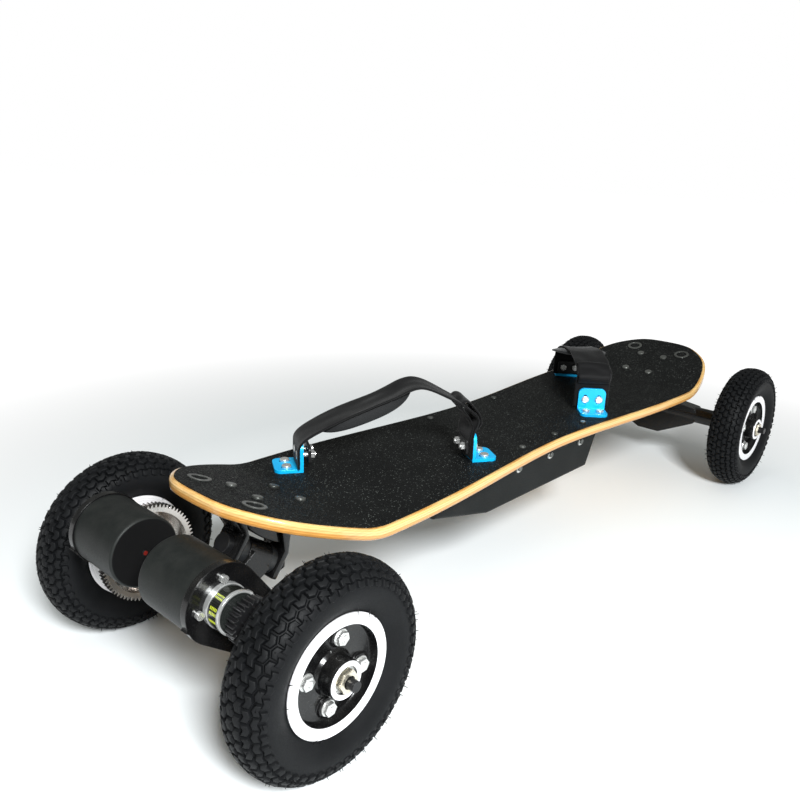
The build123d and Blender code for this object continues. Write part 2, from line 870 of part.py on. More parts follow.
def flange_plate(low, high):
    length = box_top_front - box_top_rear + 2 * box_flange
    middle = (box_top_front + box_top_rear) / 2
    plate = Box(length, 2 * (box_half_width + box_flange), high - low)
    plate = fillet(plate.edges().filter_by(Axis.Z), 8.0)
    return Pos(middle, 0, (low + high) / 2) * plate


def battery_box():
    face = make_face(Polyline(*box_profile(0), close=True))
    shell = extrude(Plane.XZ * face, amount=box_half_width, both=True)
    shell = fillet(shell.edges().filter_by(is_box_rim), box_wall * 1.6)
    shell += flange_plate(box_top - box_flange_thickness, box_top)
    shell -= box_opening(0)
    for x, y in box_screw_row():
        boss = Pos(x, y, box_top - 24) * upright(box_screw_diameter)(24)
        shell += boss
        shell -= Pos(x, y, box_top - 22) * upright(box_screw_diameter / 2 + running_gap)(30)
    for x in box_clip_places:
        hole = box_clip_screw_diameter / 2 + running_gap
        shell -= rod(hole, -box_half_width - 5, box_half_width + 5, x, clip_height())
    x, z = button_place
    shell -= rod(button_radius + 2.0 + side_gap, box_half_width - 10, box_half_width + 10, x, z)
    x, z = port_place
    shell -= rod(port_radius + side_gap, box_half_width - 10, box_half_width + 10, x, z)
    return shell


def is_box_rim(edge):
    """Edges of the box's two side faces, below its open top."""
    on_side = abs(abs(edge.center().Y) - box_half_width) < 0.1
    return on_side and edge.center().Z < box_top - 1.0


def box_gasket():
    sheet = flange_plate(box_top, deck_bottom)
    half = box_half_width - box_wall
    span = box_top_front - box_top_rear - 2 * box_wall
    middle = (box_top_front + box_top_rear) / 2
    return sheet - Pos(middle, 0, box_top) * Box(span, 2 * half, 20)


def clip_height():
    return box_top - box_flange_thickness - box_clip_size / 2 - 1.0


def box_clips():
    """Small plates that hold the box's side walls up to the deck edge."""
    clips = []
    for x in box_clip_places:
        plate = Box(box_clip_size, box_clip_thickness, box_clip_size + 1.8)
        plate = fillet(plate.edges().filter_by(Axis.Y), 2.0)
        clip = Pos(x, box_half_width + box_clip_thickness / 2, clip_height()) * plate
        reach = box_half_width + box_clip_thickness
        hole = box_clip_screw_diameter / 2 + running_gap
        clip -= rod(hole, box_half_width - 1, reach + 1, x, clip_height())
        clips.append(clip)
    return group(*clips, *[to_right(clip) for clip in clips])


def box_screws():
    """Screws down through the deck into the box's bosses, and one through each side clip."""
    pieces = []
    for x, y in box_screw_row():
        screw = Pos(x, y, box_top - 20) * upright(box_screw_diameter / 2)(deck_top - box_top + 20)
        screw += Pos(x, y, deck_top) * pan_head(box_screw_diameter * 0.85, 2.0)
        pieces.append(screw)
    for x in box_clip_places:
        face = box_half_width + box_clip_thickness
        screw = rod(box_clip_screw_diameter / 2, face - 8, face, x, clip_height())
        screw += rod(box_clip_screw_diameter * 0.85, face, face + 2, x, clip_height())
        pieces += [screw, to_right(screw)]
    return group(*pieces)


def battery_pack():
    block = Box(pack_length, 2 * (box_half_width - pack_side_room), pack_height)
    block = fillet(block.edges().filter_by(Axis.Y), 6.0)
    middle = box_floor_rear + box_wall + pack_length / 2
    return Pos(middle, 0, box_bottom + box_wall + pack_height / 2) * block


def speed_controller():
    block = Box(controller_length, 2 * (box_half_width - controller_side_room), controller_height)
    block = fillet(block.edges().filter_by(Axis.Z), 4.0)
    middle = box_floor_front - box_wall - controller_length / 2
    return Pos(middle, 0, box_bottom + box_wall + controller_height / 2) * block


def button_bezel():
    """Threaded collar and switch body that the button runs in."""
    x, z = button_place
    face = box_half_width
    bore = button_radius + side_gap
    body = rod(button_radius + 2.0, face - 16, face, x, z)
    body += rod(button_radius + 3.5, face, face + 2, x, z)
    return body - rod(bore, face - 12, face + 3, x, z)


def power_button():
    x, z = button_place
    end = box_half_width + button_stand_out
    start = box_half_width - 12 + button_travel + side_gap
    cap = rod(button_radius, start, end, x, z)
    return fillet(cap.edges().sort_by(Axis.Y)[-1:], 0.8)


def charge_port():
    x, z = port_place
    face = box_half_width
    body = rod(port_radius, face - 16, face, x, z)
    body += rod(port_radius + 2.5, face, face + 1.5, x, z)
    return body - rod(port_bore_radius, face - 12, face + 3, x, z)


def charge_cap():
    """Rubber plug pushed into the port."""
    x, z = port_place
    face = box_half_width + 1.5
    cap = rod(port_radius + 1.5, face, face + 2.0, x, z)
    cap = fillet(cap.edges().sort_by(Axis.Y)[-1:], 0.8)
    return cap + rod(port_bore_radius - side_gap, face - 4, face, x, z)


# ---------------------------------------------------------------- foot straps


def strap_sets():
    """Place, turn, span and peak height of the rear and the front foot strap."""
    return [
        (rear_strap_place, rear_strap_turn, rear_strap_span, rear_strap_peak),
        (front_strap_place, front_strap_turn, front_strap_span, front_strap_peak),
    ]


def strap_frame(place, turn):
    return Pos(place[0], place[1], deck_top) * Rot(0, 0, turn)


def strap_line_x(span):
    return span / 2 - soft_gap - strap_thickness / 2


def bracket(span):
    """Angle bracket at the strap's +X end: base out along the deck, slots for its bolts."""
    half = span / 2
    base = Box(bracket_reach, bracket_width, bracket_thickness)
    outer = [edge for edge in base.edges().filter_by(Axis.Z) if edge.center().X > 0]
    base = fillet(outer, 8.0)
    base = Pos(half + bracket_reach / 2, 0, bracket_thickness / 2) * base
    wall = Box(bracket_thickness, bracket_width, bracket_height)
    upper = [edge for edge in wall.edges().filter_by(Axis.X) if edge.center().Z > 0]
    wall = fillet(upper, 8.0)
    wall = Pos(half + bracket_thickness / 2, 0, bracket_height / 2) * wall
    angle = base + wall
    slot_width = strap_bolt_diameter + 2 * bolt_gap
    slot = extrude(SlotOverall(slot_width * 2, slot_width), amount=bracket_thickness * 2, both=True)
    for side in (-1, 1):
        y = side * bracket_width / 4
        angle -= Pos(base_bolt_x(half), y, 0) * slot
        angle -= Pos(half, y, wall_bolt_z()) * Rot(0, 90, 0) * slot
    return angle


def base_bolt_x(half):
    return half + bracket_thickness + (bracket_reach - bracket_thickness) / 2


def wall_bolt_z():
    return bracket_thickness + strap_plate_height / 2 + 4.0


def both_ends(shape):
    return [shape, Rot(0, 0, 180) * shape]


def on_deck(build):
    """Pieces of one kind for both foot straps, at both ends of each."""
    pieces = []
    for place, turn, span, peak in strap_sets():
        frame = strap_frame(place, turn)
        for shape in build(span):
            pieces += [frame * piece for piece in both_ends(shape)]
    return group(*pieces)


def strap_brackets():
    return on_deck(lambda span: [bracket(span)])


def bolts_at_end(span):
    """Two bolts down into the deck's inserts and two through the strap, with nuts inside."""
    half = span / 2
    radius = strap_bolt_diameter / 2
    inner_face = half - 2 * soft_gap - strap_thickness - strap_plate_thickness
    pieces = []
    for side in (-1, 1):
        y = side * bracket_width / 4
        depth = deck_thickness + grip_thickness - 0.5
        down = Pos(0, 0, -depth) * upright(radius)(depth + bracket_thickness)
        down += Pos(0, 0, bracket_thickness) * pan_head(radius * 1.8, 3.2)
        pieces.append(Pos(base_bolt_x(half), y, 0) * down)
        through = half + bracket_thickness - inner_face + 6.0
        across = upright(radius)(through)
        across += Pos(0, 0, through) * pan_head(radius * 1.8, 3.2)
        nut = Pos(0, 0, 1.5) * hex_nut(strap_bolt_diameter * 1.7, 4.5)
        nut -= Pos(0, 0, -1) * upright(radius + running_gap)(10)
        spot = Pos(inner_face - 6.0, y, wall_bolt_z()) * Rot(0, 90, 0)
        pieces += [spot * across, spot * nut]
    return pieces


def strap_bolts():
    return on_deck(bolts_at_end)


def plate_at_end(span):
    half = span / 2
    outer_face = half - 2 * soft_gap - strap_thickness
    plate = Box(strap_plate_thickness, bracket_width - 2, strap_plate_height)
    plate = fillet(plate.edges().filter_by(Axis.X), 4.0)
    plate = Pos(outer_face - strap_plate_thickness / 2, 0, wall_bolt_z()) * plate
    for side in (-1, 1):
        drill = upright(strap_bolt_diameter / 2 + bolt_gap)(20)
        plate -= Pos(outer_face - 10, side * bracket_width / 4, wall_bolt_z()) * Rot(0, 90, 0) * drill
    return plate


def strap_plates():
    return on_deck(lambda span: [plate_at_end(span)])


def strap_path(span, peak):
    """Centre line of a foot strap in its own upright plane, low end first."""
    end = strap_line_x(span)
    points = [
        (-end, bracket_thickness + 1),
        (-end, strap_foot_height),
        (strap_peak_shift, peak),
        (end + strap_shoulder_out, strap_shoulder_height),
        (end, strap_foot_height + 4),
        (end, bracket_thickness + 1),
    ]
    return FilletPolyline(*points, radius=[12, 60, 10, 30])


def foot_strap(place, turn, span, peak):
    path = Plane.XZ * Wire(strap_path(span, peak).edges())
    end_plane = Plane(origin=path @ 0, x_dir=(1, 0, 0), z_dir=(0, 0, 1))
    section = end_plane * Rectangle(strap_thickness, strap_width)
    strap = sweep(section, path=path)
    for end in (-1, 1):
        for side in (-1, 1):
            drill = Cylinder(strap_bolt_diameter / 2 + bolt_gap, strap_thickness * 4)
            spot = Pos(end * strap_line_x(span), side * bracket_width / 4, wall_bolt_z())
            strap -= spot * Rot(0, 90, 0) * drill
    return strap_frame(place, turn) * strap


def strap_pad(place, turn, span, peak):
    """Padding under the strap's long straight run."""
    end = strap_line_x(span)
    run = strap_peak_shift + end
    rise = peak - strap_foot_height
    slope = atan2(rise, run)
    drop = strap_thickness / 2 + soft_gap + pad_thickness / 2
    x = -end + run * pad_centre_share + drop * sin(slope)
    z = strap_foot_height + rise * pad_centre_share - drop * cos(slope)
    pad = Box(pad_length, pad_width, pad_thickness)
    pad = fillet(pad.edges().filter_by(Axis.Z), pad_corner)
    pad = Pos(x, 0, z) * Rot(0, -degrees(slope), 0) * pad
    return strap_frame(place, turn) * pad


# ---------------------------------------------------------------- assembly


def model():
    """Every node by name."""
    nodes = {
        "deck": deck(),
        "grip_tape": grip_tape(),
        "truck_bolts": truck_bolts(),
        "tip_rings": tip_rings(),
        "battery_box": battery_box(),
        "box_gasket": box_gasket(),
        "box_clips": box_clips(),
        "box_screws": box_screws(),
        "battery_pack": battery_pack(),
        "speed_controller": speed_controller(),
        "button_bezel": button_bezel(),
        "power_button": power_button(),
        "charge_port": charge_port(),
        "charge_cap": charge_cap(),
        "pivot_bolts": pivot_bolts(),
        "truck_bushings": truck_bushings(),
        "strap_brackets": strap_brackets(),
        "strap_bolts": strap_bolts(),
        "strap_plates": strap_plates(),
        "motor_cores": motor_cores(),
        "gearhead_sleeves": gearhead_sleeves(),
        "motor_screws": motor_screws(),
    }
    for end, sizes in zip(("rear", "front"), strap_sets()):
        nodes[f"{end}_foot_strap"] = foot_strap(*sizes)
        nodes[f"{end}_strap_pad"] = strap_pad(*sizes)
    for name, build in (
        ("baseplate", front_baseplate),
        ("hanger", front_hanger),
        ("axle", front_axle),
        ("axle_nuts", front_axle_nuts),
    ):
        nodes[f"front_{name}"] = build()
        nodes[f"rear_{name}"] = to_rear(nodes[f"front_{name}"])
    for name, build in (
        ("motor_mount", left_motor_mount),
        ("motor_can", left_motor_can),
        ("gearhead", left_gearhead),
        ("pinion", left_pinion),
    ):
        nodes[f"left_{name}"] = build()
        nodes[f"right_{name}"] = to_right(nodes[f"left_{name}"])
    for end, x in (("front", half_base), ("rear", -half_base)):
        stack = gear_plate if end == "rear" else 0.0
        pieces = {"tyre": tyre(), "hub": hub(), "bearings": bearings(), "hub_bolts": hub_bolts(stack)}
        if end == "rear":
            pieces["drive_gear"] = drive_gear()
        for name, shape in pieces.items():
            placed = Pos(x, half_track, wheel_radius) * shape
            nodes[f"{end}_left_{name}"] = placed
            nodes[f"{end}_right_{name}"] = to_right(placed)
    return nodes


os.makedirs("parts", exist_ok=True)
for node, shape in model().items():
    export_step(shape, f"parts/{node}.step")
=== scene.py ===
import math
import random

import bmesh
import bpy
from mathutils import Matrix, Vector, noise


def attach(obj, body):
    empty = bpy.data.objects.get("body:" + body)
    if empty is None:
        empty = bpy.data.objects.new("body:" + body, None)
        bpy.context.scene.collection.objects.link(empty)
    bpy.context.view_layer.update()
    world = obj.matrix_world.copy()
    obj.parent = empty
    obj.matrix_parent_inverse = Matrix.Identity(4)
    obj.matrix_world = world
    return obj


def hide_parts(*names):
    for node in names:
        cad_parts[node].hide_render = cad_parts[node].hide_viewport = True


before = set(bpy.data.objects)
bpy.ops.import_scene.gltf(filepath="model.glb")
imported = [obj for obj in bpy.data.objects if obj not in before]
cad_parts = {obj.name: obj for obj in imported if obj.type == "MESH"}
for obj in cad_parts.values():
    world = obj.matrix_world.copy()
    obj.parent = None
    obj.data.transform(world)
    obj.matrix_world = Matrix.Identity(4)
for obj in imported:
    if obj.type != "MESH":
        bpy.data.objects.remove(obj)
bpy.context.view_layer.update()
mm = 0.001
print("frame loaded:", len(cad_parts), "parts")

# the few places that everything else hangs on, in metres
board = {
    "axleX": 0.48,
    "wheelY": 0.16,
    "wheelZ": 0.1,
    "deckTop": 0.174,
    "deckBottom": 0.161,
    "kickStart": 0.369,
    "kickSlope": math.tan(math.radians(17.8)),
    "kickSoftening": 0.0085,
    "bendHalf": 0.018,
    "kickShare": 0.952,  # true thickness over upright thickness on a kick
    "motorX": -0.538336,
    "motorZ": 0.158336,
}


# short ways to add and join shader nodes
def feed(tree, node, inputs):
    for key, value in inputs.items():
        if isinstance(value, bpy.types.NodeSocket):
            tree.links.new(value, node.inputs[key])
        else:
            node.inputs[key].default_value = value
    return node


def addNode(tree, kind, inputs=None, **settings):
    node = tree.nodes.new(kind)
    for key, value in settings.items():
        setattr(node, key, value)
    return feed(tree, node, inputs or {})


def calc(tree, operation, *values, clamp=False):
    inputs = {i: value for i, value in enumerate(values)}
    return addNode(tree, "ShaderNodeMath", inputs, operation=operation, use_clamp=clamp).outputs[0]


def times(tree, first, second, clamp=False):
    return calc(tree, "MULTIPLY", first, second, clamp=clamp)


def plus(tree, first, second, clamp=False):
    return calc(tree, "ADD", first, second, clamp=clamp)


def blendColour(tree, factor, low, high):
    node = addNode(tree, "ShaderNodeMix", {"Factor": factor}, data_type="RGBA")
    for slot, value in ((6, low), (7, high)):
        solid = isinstance(value, (tuple, list))
        feed(tree, node, {slot: (*value, 1.0) if solid else value})
    return node.outputs[2]


def spread(tree, value, low, high, toLow=0.0, toHigh=1.0):
    inputs = {"Value": value, "From Min": low, "From Max": high, "To Min": toLow, "To Max": toHigh}
    return addNode(tree, "ShaderNodeMapRange", inputs).outputs["Result"]


def addObject(name, data):
    made = bpy.data.objects.new(name, data)
    bpy.context.scene.collection.objects.link(made)
    return made


def objectPlace(tree):
    return addNode(tree, "ShaderNodeTexCoord").outputs["Object"]


def surfaceNormal(tree):
    return addNode(tree, "ShaderNodeNewGeometry").outputs["Normal"]


def splitUp(tree, vector):
    return addNode(tree, "ShaderNodeSeparateXYZ", {0: vector}).outputs


def uvPlace(tree):
    return splitUp(tree, addNode(tree, "ShaderNodeUVMap", uv_map="UVMap").outputs[0])


def startGroup(name, inputs, outputs):
    group = bpy.data.node_groups.new(name, "ShaderNodeTree")
    for label, kind, value in inputs:
        socket = group.interface.new_socket(label, in_out="INPUT", socket_type=kind)
        if value is not None:
            socket.default_value = value
    for label, kind in outputs:
        group.interface.new_socket(label, in_out="OUTPUT", socket_type=kind)
    return group, group.nodes.new("NodeGroupInput").outputs, group.nodes.new("NodeGroupOutput")


def useGroup(tree, group, **inputs):
    node = tree.nodes.new("ShaderNodeGroup")
    node.node_tree = group
    return feed(tree, node, inputs).outputs


numberKind = "NodeSocketFloat"
vectorKind = "NodeSocketVector"

# effects that several finishes share; the first rounds edges and finds the edges, which the finishes paint
# lighter, partly for wear and partly as a painted highlight
softEdge, given, out = startGroup(
    "softEdge",
    [("Radius", numberKind, 0.0006), ("Wear", numberKind, 4.0)],
    [("Normal", vectorKind), ("Edge", numberKind)],
)
rounded = addNode(softEdge, "ShaderNodeBevel", {"Radius": given["Radius"]}, samples=4)
facing = surfaceNormal(softEdge)
turnedBy = addNode(
    softEdge, "ShaderNodeVectorMath", {0: rounded.outputs[0], 1: facing}, operation="DOT_PRODUCT",
)
turnedAway = calc(softEdge, "SUBTRACT", 1.0, turnedBy.outputs["Value"])
softEdge.links.new(rounded.outputs[0], out.inputs["Normal"])
softEdge.links.new(times(softEdge, turnedAway, given["Wear"], clamp=True), out.inputs["Edge"])

fineGrain, given, out = startGroup(
    "fineGrain",
    [("Size", numberKind, 0.001), ("Detail", numberKind, 3.0), ("Stretch", vectorKind, (1, 1, 1))],
    [("Height", numberKind), ("Patches", numberKind)],
)
place = objectPlace(fineGrain)
stretched = addNode(
    fineGrain, "ShaderNodeVectorMath", {0: place, 1: given["Stretch"]}, operation="MULTIPLY",
)
grainScale = calc(fineGrain, "DIVIDE", 1.0, given["Size"])
small = addNode(
    fineGrain, "ShaderNodeTexNoise",
    {"Vector": stretched.outputs[0], "Scale": grainScale, "Detail": given["Detail"]},
)
large = addNode(
    fineGrain, "ShaderNodeTexNoise", {"Vector": stretched.outputs[0], "Scale": 22.0, "Detail": 4.0},
)
fineGrain.links.new(small.outputs[0], out.inputs["Height"])
fineGrain.links.new(spread(fineGrain, large.outputs[0], 0.35, 0.65), out.inputs["Patches"])

settledDust, given, out = startGroup(
    "settledDust",
    [("Amount", numberKind, 0.3), ("Size", numberKind, 0.02)],
    [("Mask", numberKind)],
)
upward = splitUp(settledDust, surfaceNormal(settledDust))[2]
place = objectPlace(settledDust)
dustScale = calc(settledDust, "DIVIDE", 1.0, given["Size"])
cloud = addNode(
    settledDust, "ShaderNodeTexNoise",
    {"Vector": place, "Scale": dustScale, "Detail": 6.0, "Roughness": 0.7},
)
lying = times(
    settledDust, spread(settledDust, upward, -0.1, 0.9), spread(settledDust, cloud.outputs[0], 0.4, 0.75),
)
settledDust.links.new(times(settledDust, lying, given["Amount"], clamp=True), out.inputs["Mask"])

latheMarks, given, out = startGroup(
    "latheMarks",
    [("CentreX", numberKind, 0.0), ("CentreZ", numberKind, 0.1), ("Pitch", numberKind, 0.0006)],
    [("Height", numberKind), ("Radius", numberKind), ("Angle", numberKind)],
)
place = splitUp(latheMarks, objectPlace(latheMarks))
aside = calc(latheMarks, "SUBTRACT", place[0], given["CentreX"])
above = calc(latheMarks, "SUBTRACT", place[2], given["CentreZ"])
squares = [times(latheMarks, part, part) for part in (aside, above)]
away = calc(latheMarks, "SQRT", plus(latheMarks, *squares))
ringAt = calc(latheMarks, "DIVIDE", away, given["Pitch"])
rings = addNode(
    latheMarks, "ShaderNodeTexNoise", {"W": ringAt, "Scale": 1.0, "Detail": 2.0}, noise_dimensions="1D",
)
latheMarks.links.new(rings.outputs[0], out.inputs["Height"])
latheMarks.links.new(away, out.inputs["Radius"])
latheMarks.links.new(calc(latheMarks, "ARCTAN2", above, aside), out.inputs["Angle"])

# how far a point is above the deck's underside, along the kicks too
deckHeight, given, out = startGroup(
    "deckHeight",
    [("Bottom", numberKind, board["deckBottom"]), ("Kick", numberKind, board["kickStart"])],
    [("Height", numberKind)],
)
place = splitUp(deckHeight, objectPlace(deckHeight))
past = calc(deckHeight, "SUBTRACT", calc(deckHeight, "ABSOLUTE", place[0]), given["Kick"])
climb = calc(
    deckHeight, "SMOOTH_MAX", times(deckHeight, past, board["kickSlope"]), 0.0, board["kickSoftening"],
)
level = calc(deckHeight, "SUBTRACT", calc(deckHeight, "SUBTRACT", place[2], given["Bottom"]), climb)
shrink = spread(deckHeight, past, -board["bendHalf"], board["bendHalf"], 1.0, board["kickShare"])
deckHeight.links.new(times(deckHeight, level, shrink), out.inputs["Height"])

# plain weave over a strip, U across and V along, both in metres
plainWeave, given, out = startGroup(
    "plainWeave",
    [("Thread", numberKind, 0.0012), ("Rib", numberKind, 0.0022)],
    [("Height", numberKind), ("Thread", numberKind)],
)
strip = uvPlace(plainWeave)
across = times(plainWeave, calc(plainWeave, "DIVIDE", strip[0], given["Thread"]), math.pi)
along = times(plainWeave, calc(plainWeave, "DIVIDE", strip[1], given["Rib"]), math.pi)
over = times(plainWeave, calc(plainWeave, "SINE", across), calc(plainWeave, "SINE", along))
ribs = calc(plainWeave, "ABSOLUTE", calc(plainWeave, "SINE", along))
plainWeave.links.new(
    calc(plainWeave, "MULTIPLY_ADD", over, 0.3, times(plainWeave, ribs, 0.7)), out.inputs["Height"],
)
plainWeave.links.new(spread(plainWeave, over, -1.0, 1.0), out.inputs["Thread"])
print("shared effects ready")


# one function, or one row of hardLooks, for each finish
def fromNoise(tree, value, low, high):
    # most of a noise lies between 0.3 and 0.7
    return spread(tree, value, 0.3, 0.7, low, high)


def startFinish(name, **values):
    finish = bpy.data.materials.new(name)
    finish.use_nodes = True
    shader = finish.node_tree.nodes["Principled BSDF"]
    for key, value in values.items():
        shader.inputs[key].default_value = value
    return finish, finish.node_tree, shader


def wire(tree, shader, **links):
    for key, value in links.items():
        tree.links.new(value, shader.inputs[key.replace("_", " ")])


def bumped(tree, height, distance, strength=1.0, normal=None):
    inputs = {"Height": height, "Distance": distance, "Strength": strength}
    if normal is not None:
        inputs["Normal"] = normal
    return addNode(tree, "ShaderNodeBump", inputs).outputs[0]


def hardFinish(name, look):
    # painted, plated or moulded parts: soft edges painted lighter for wear and as a painted edge highlight,
    # grain, uneven gloss and a little dust
    extra = {
        key: look[key] for key in ("Coat Weight", "Coat Roughness", "Specular IOR Level")
        if key in look
    }
    finish, tree, shader = startFinish(name, Metallic=look["metallic"], **extra)
    edge = useGroup(tree, softEdge, Radius=look.get("edge", 0.0007), Wear=look.get("wearAndHighlight", 3.0))
    grain = useGroup(
        tree, fineGrain, Size=look.get("grain", 0.0012), Stretch=look.get("stretch", (1, 1, 1)),
    )
    dust = useGroup(tree, settledDust, Amount=look.get("dust", 0.15), Size=0.018)
    other = look.get("other", [c * 1.3 for c in look["colour"]])
    body = blendColour(tree, grain["Patches"], look["colour"], other)
    edgeColour = look.get("edgeColour", [min(1, c * 1.6 + 0.01) for c in look["colour"]])
    # edges painted lighter, partly for wear and partly as a painted highlight
    worn = blendColour(tree, edge["Edge"], body, edgeColour)
    dusty = blendColour(tree, dust["Mask"], worn, look.get("dustColour", (0.23, 0.22, 0.2)))
    rough = fromNoise(tree, grain["Height"], *look["gloss"])
    rough = plus(tree, rough, times(tree, dust["Mask"], 0.3), clamp=True)
    normal = bumped(
        tree, grain["Height"], look.get("depth", 0.00003), look.get("bump", 0.4), edge["Normal"],
    )
    wire(tree, shader, Base_Color=dusty, Roughness=rough, Normal=normal)
    return finish


hardLooks = {
    "glossBlackPaint": {
        "colour": (0.003, 0.003, 0.0032), "metallic": 0.0, "gloss": (0.16, 0.3), "Coat Weight": 0.22,
        "Coat Roughness": 0.1, "Specular IOR Level": 0.25, "dust": 0.05, "edge": 0.0012,
    },
    "satinBlackPaint": {
        "colour": (0.007, 0.007, 0.0075), "metallic": 0.0, "gloss": (0.34, 0.5), "Specular IOR Level": 0.3,
        "dust": 0.05, "edge": 0.0009,
    },
    "motorShell": {
        "colour": (0.009, 0.0105, 0.01), "other": (0.013, 0.015, 0.0142), "metallic": 0.15,
        "gloss": (0.4, 0.56), "grain": 0.0009, "depth": 0.00002, "dust": 0.05, "edge": 0.0011,
        "edgeColour": (0.09, 0.09, 0.088), "wearAndHighlight": 5.0, "Specular IOR Level": 0.2,
    },
    "zincSteel": {
        "colour": (0.66, 0.67, 0.66), "other": (0.76, 0.76, 0.74), "metallic": 0.8, "gloss": (0.2, 0.36),
        "grain": 0.0008, "dust": 0.04, "edge": 0.0005, "edgeColour": (0.9, 0.9, 0.88),
    },
    "goldZinc": {
        "colour": (0.66, 0.6, 0.46), "other": (0.74, 0.7, 0.58), "metallic": 0.9, "gloss": (0.2, 0.38),
        "dust": 0.05, "edge": 0.0005, "edgeColour": (0.9, 0.87, 0.78),
    },
    "blackOxide": {
        "colour": (0.012, 0.012, 0.013), "metallic": 0.5, "gloss": (0.3, 0.5), "dust": 0.04, "edge": 0.0006,
        "edgeColour": (0.07, 0.07, 0.07),
    },
    "gearSteel": {
        "colour": (0.5, 0.48, 0.46), "other": (0.62, 0.58, 0.55), "metallic": 0.95, "gloss": (0.12, 0.26),
        "grain": 0.002, "dust": 0.03, "edge": 0.0004, "edgeColour": (0.85, 0.83, 0.8),
    },
    "blueAnodised": {
        "colour": (0.001, 0.42, 0.86), "other": (0.002, 0.5, 0.92), "metallic": 0.2, "gloss": (0.28, 0.42),
        "grain": 0.0007, "dust": 0.02, "edge": 0.0008, "edgeColour": (0.03, 0.6, 0.96),
        "dustColour": (0.4, 0.6, 0.7),
    },
    "caseShell": {
        "colour": (0.006, 0.007, 0.007), "other": (0.009, 0.01, 0.01), "metallic": 0.0,
        "gloss": (0.5, 0.66), "grain": 0.0013, "depth": 0.00012, "bump": 0.7, "Specular IOR Level": 0.15,
        "dust": 0.05, "edge": 0.0012,
    },
    "softRubber": {
        "colour": (0.008, 0.008, 0.008), "metallic": 0.0, "gloss": (0.55, 0.75), "Specular IOR Level": 0.3,
        "dust": 0.1, "edge": 0.0006,
    },
    "shrinkFilm": {
        "colour": (0.02, 0.05, 0.12), "metallic": 0.0, "gloss": (0.2, 0.35), "dust": 0.1, "edge": 0.002,
    },
    "copperCore": {
        "colour": (0.3, 0.12, 0.05), "metallic": 0.8, "gloss": (0.35, 0.5), "grain": 0.0008, "dust": 0.0,
    },
    "eyeletMetal": {
        "colour": (0.06, 0.065, 0.06), "other": (0.16, 0.165, 0.155), "metallic": 0.7,
        "gloss": (0.26, 0.44), "dust": 0.08, "edge": 0.0004, "edgeColour": (0.34, 0.34, 0.33),
    },
    "bushingRubber": {"colour": (0.012, 0.013, 0.014), "metallic": 0.0, "gloss": (0.4, 0.6), "dust": 0.06},
}
finishes = {name: hardFinish(name, look) for name, look in hardLooks.items()}


def maplePly():
    look = {
        "thickness": 0.012, "light": (0.78, 0.5, 0.19), "honey": (0.62, 0.31, 0.075),
        "dark": (0.45, 0.19, 0.04), "fibre": (9, 160, 900), "uneven": 0.0004, "figure": (1.2, 14, 14),
    }
    finish, tree, shader = startFinish("maplePly", **{"Coat Weight": 0.7, "Coat Roughness": 0.12})
    height = useGroup(tree, deckHeight)["Height"]
    place = objectPlace(tree)
    drawn = addNode(tree, "ShaderNodeMapping", {"Vector": place, "Scale": look["fibre"]}).outputs[0]
    fibreInputs = {"Vector": drawn, "Scale": 1.0, "Detail": 5.0, "Roughness": 0.6}
    fibre = addNode(tree, "ShaderNodeTexNoise", fibreInputs).outputs[0]
    unevenness = times(tree, calc(tree, "SUBTRACT", fibre, 0.5), look["uneven"])
    share = calc(tree, "DIVIDE", plus(tree, height, unevenness), look["thickness"])
    ramp = addNode(tree, "ShaderNodeValToRGB", {"Fac": share})
    ramp.color_ramp.interpolation = "LINEAR"
    bands = [
        (0.0, look["dark"]), (0.13, look["honey"]), (0.22, look["dark"]), (0.26, look["honey"]),
        (0.36, look["honey"]), (0.4, look["dark"]), (0.43, look["honey"]), (0.5, look["light"]),
        (0.6, look["light"]), (0.63, look["honey"]), (0.66, look["light"]), (0.82, look["light"]),
        (0.85, look["honey"]), (0.88, look["light"]), (1.0, look["light"]),
    ]
    while len(ramp.color_ramp.elements) < len(bands):
        ramp.color_ramp.elements.new(0.5)
    for element, (at, colour) in zip(ramp.color_ramp.elements, bands):
        element.position, element.color = at, (*colour, 1.0)
    streaks = fromNoise(tree, fibre, 0.78, 1.12)
    wide = addNode(tree, "ShaderNodeMapping", {"Vector": place, "Scale": look["figure"]}).outputs[0]
    figureInputs = {"Vector": wide, "Scale": 3.0, "Distortion": 6.0, "Detail": 3.0}
    figure = addNode(tree, "ShaderNodeTexWave", figureInputs).outputs[1]
    flat = splitUp(tree, surfaceNormal(tree))[2]
    onFace = spread(tree, calc(tree, "ABSOLUTE", flat), 0.8, 0.93)
    face = blendColour(tree, figure, look["light"], look["honey"])
    wood = blendColour(tree, onFace, ramp.outputs[0], face)
    tinted = addNode(tree, "ShaderNodeMix", {"Factor": 1.0}, data_type="RGBA", blend_type="MULTIPLY")
    tree.links.new(wood, tinted.inputs[6])
    grey = addNode(tree, "ShaderNodeCombineColor", {0: streaks, 1: streaks, 2: streaks})
    tree.links.new(grey.outputs[0], tinted.inputs[7])
    rough = fromNoise(tree, fibre, 0.28, 0.42)
    wire(
        tree, shader, Base_Color=tinted.outputs[2], Roughness=rough,
        Normal=bumped(tree, fibre, 0.00006, 0.35),
    )
    return finish


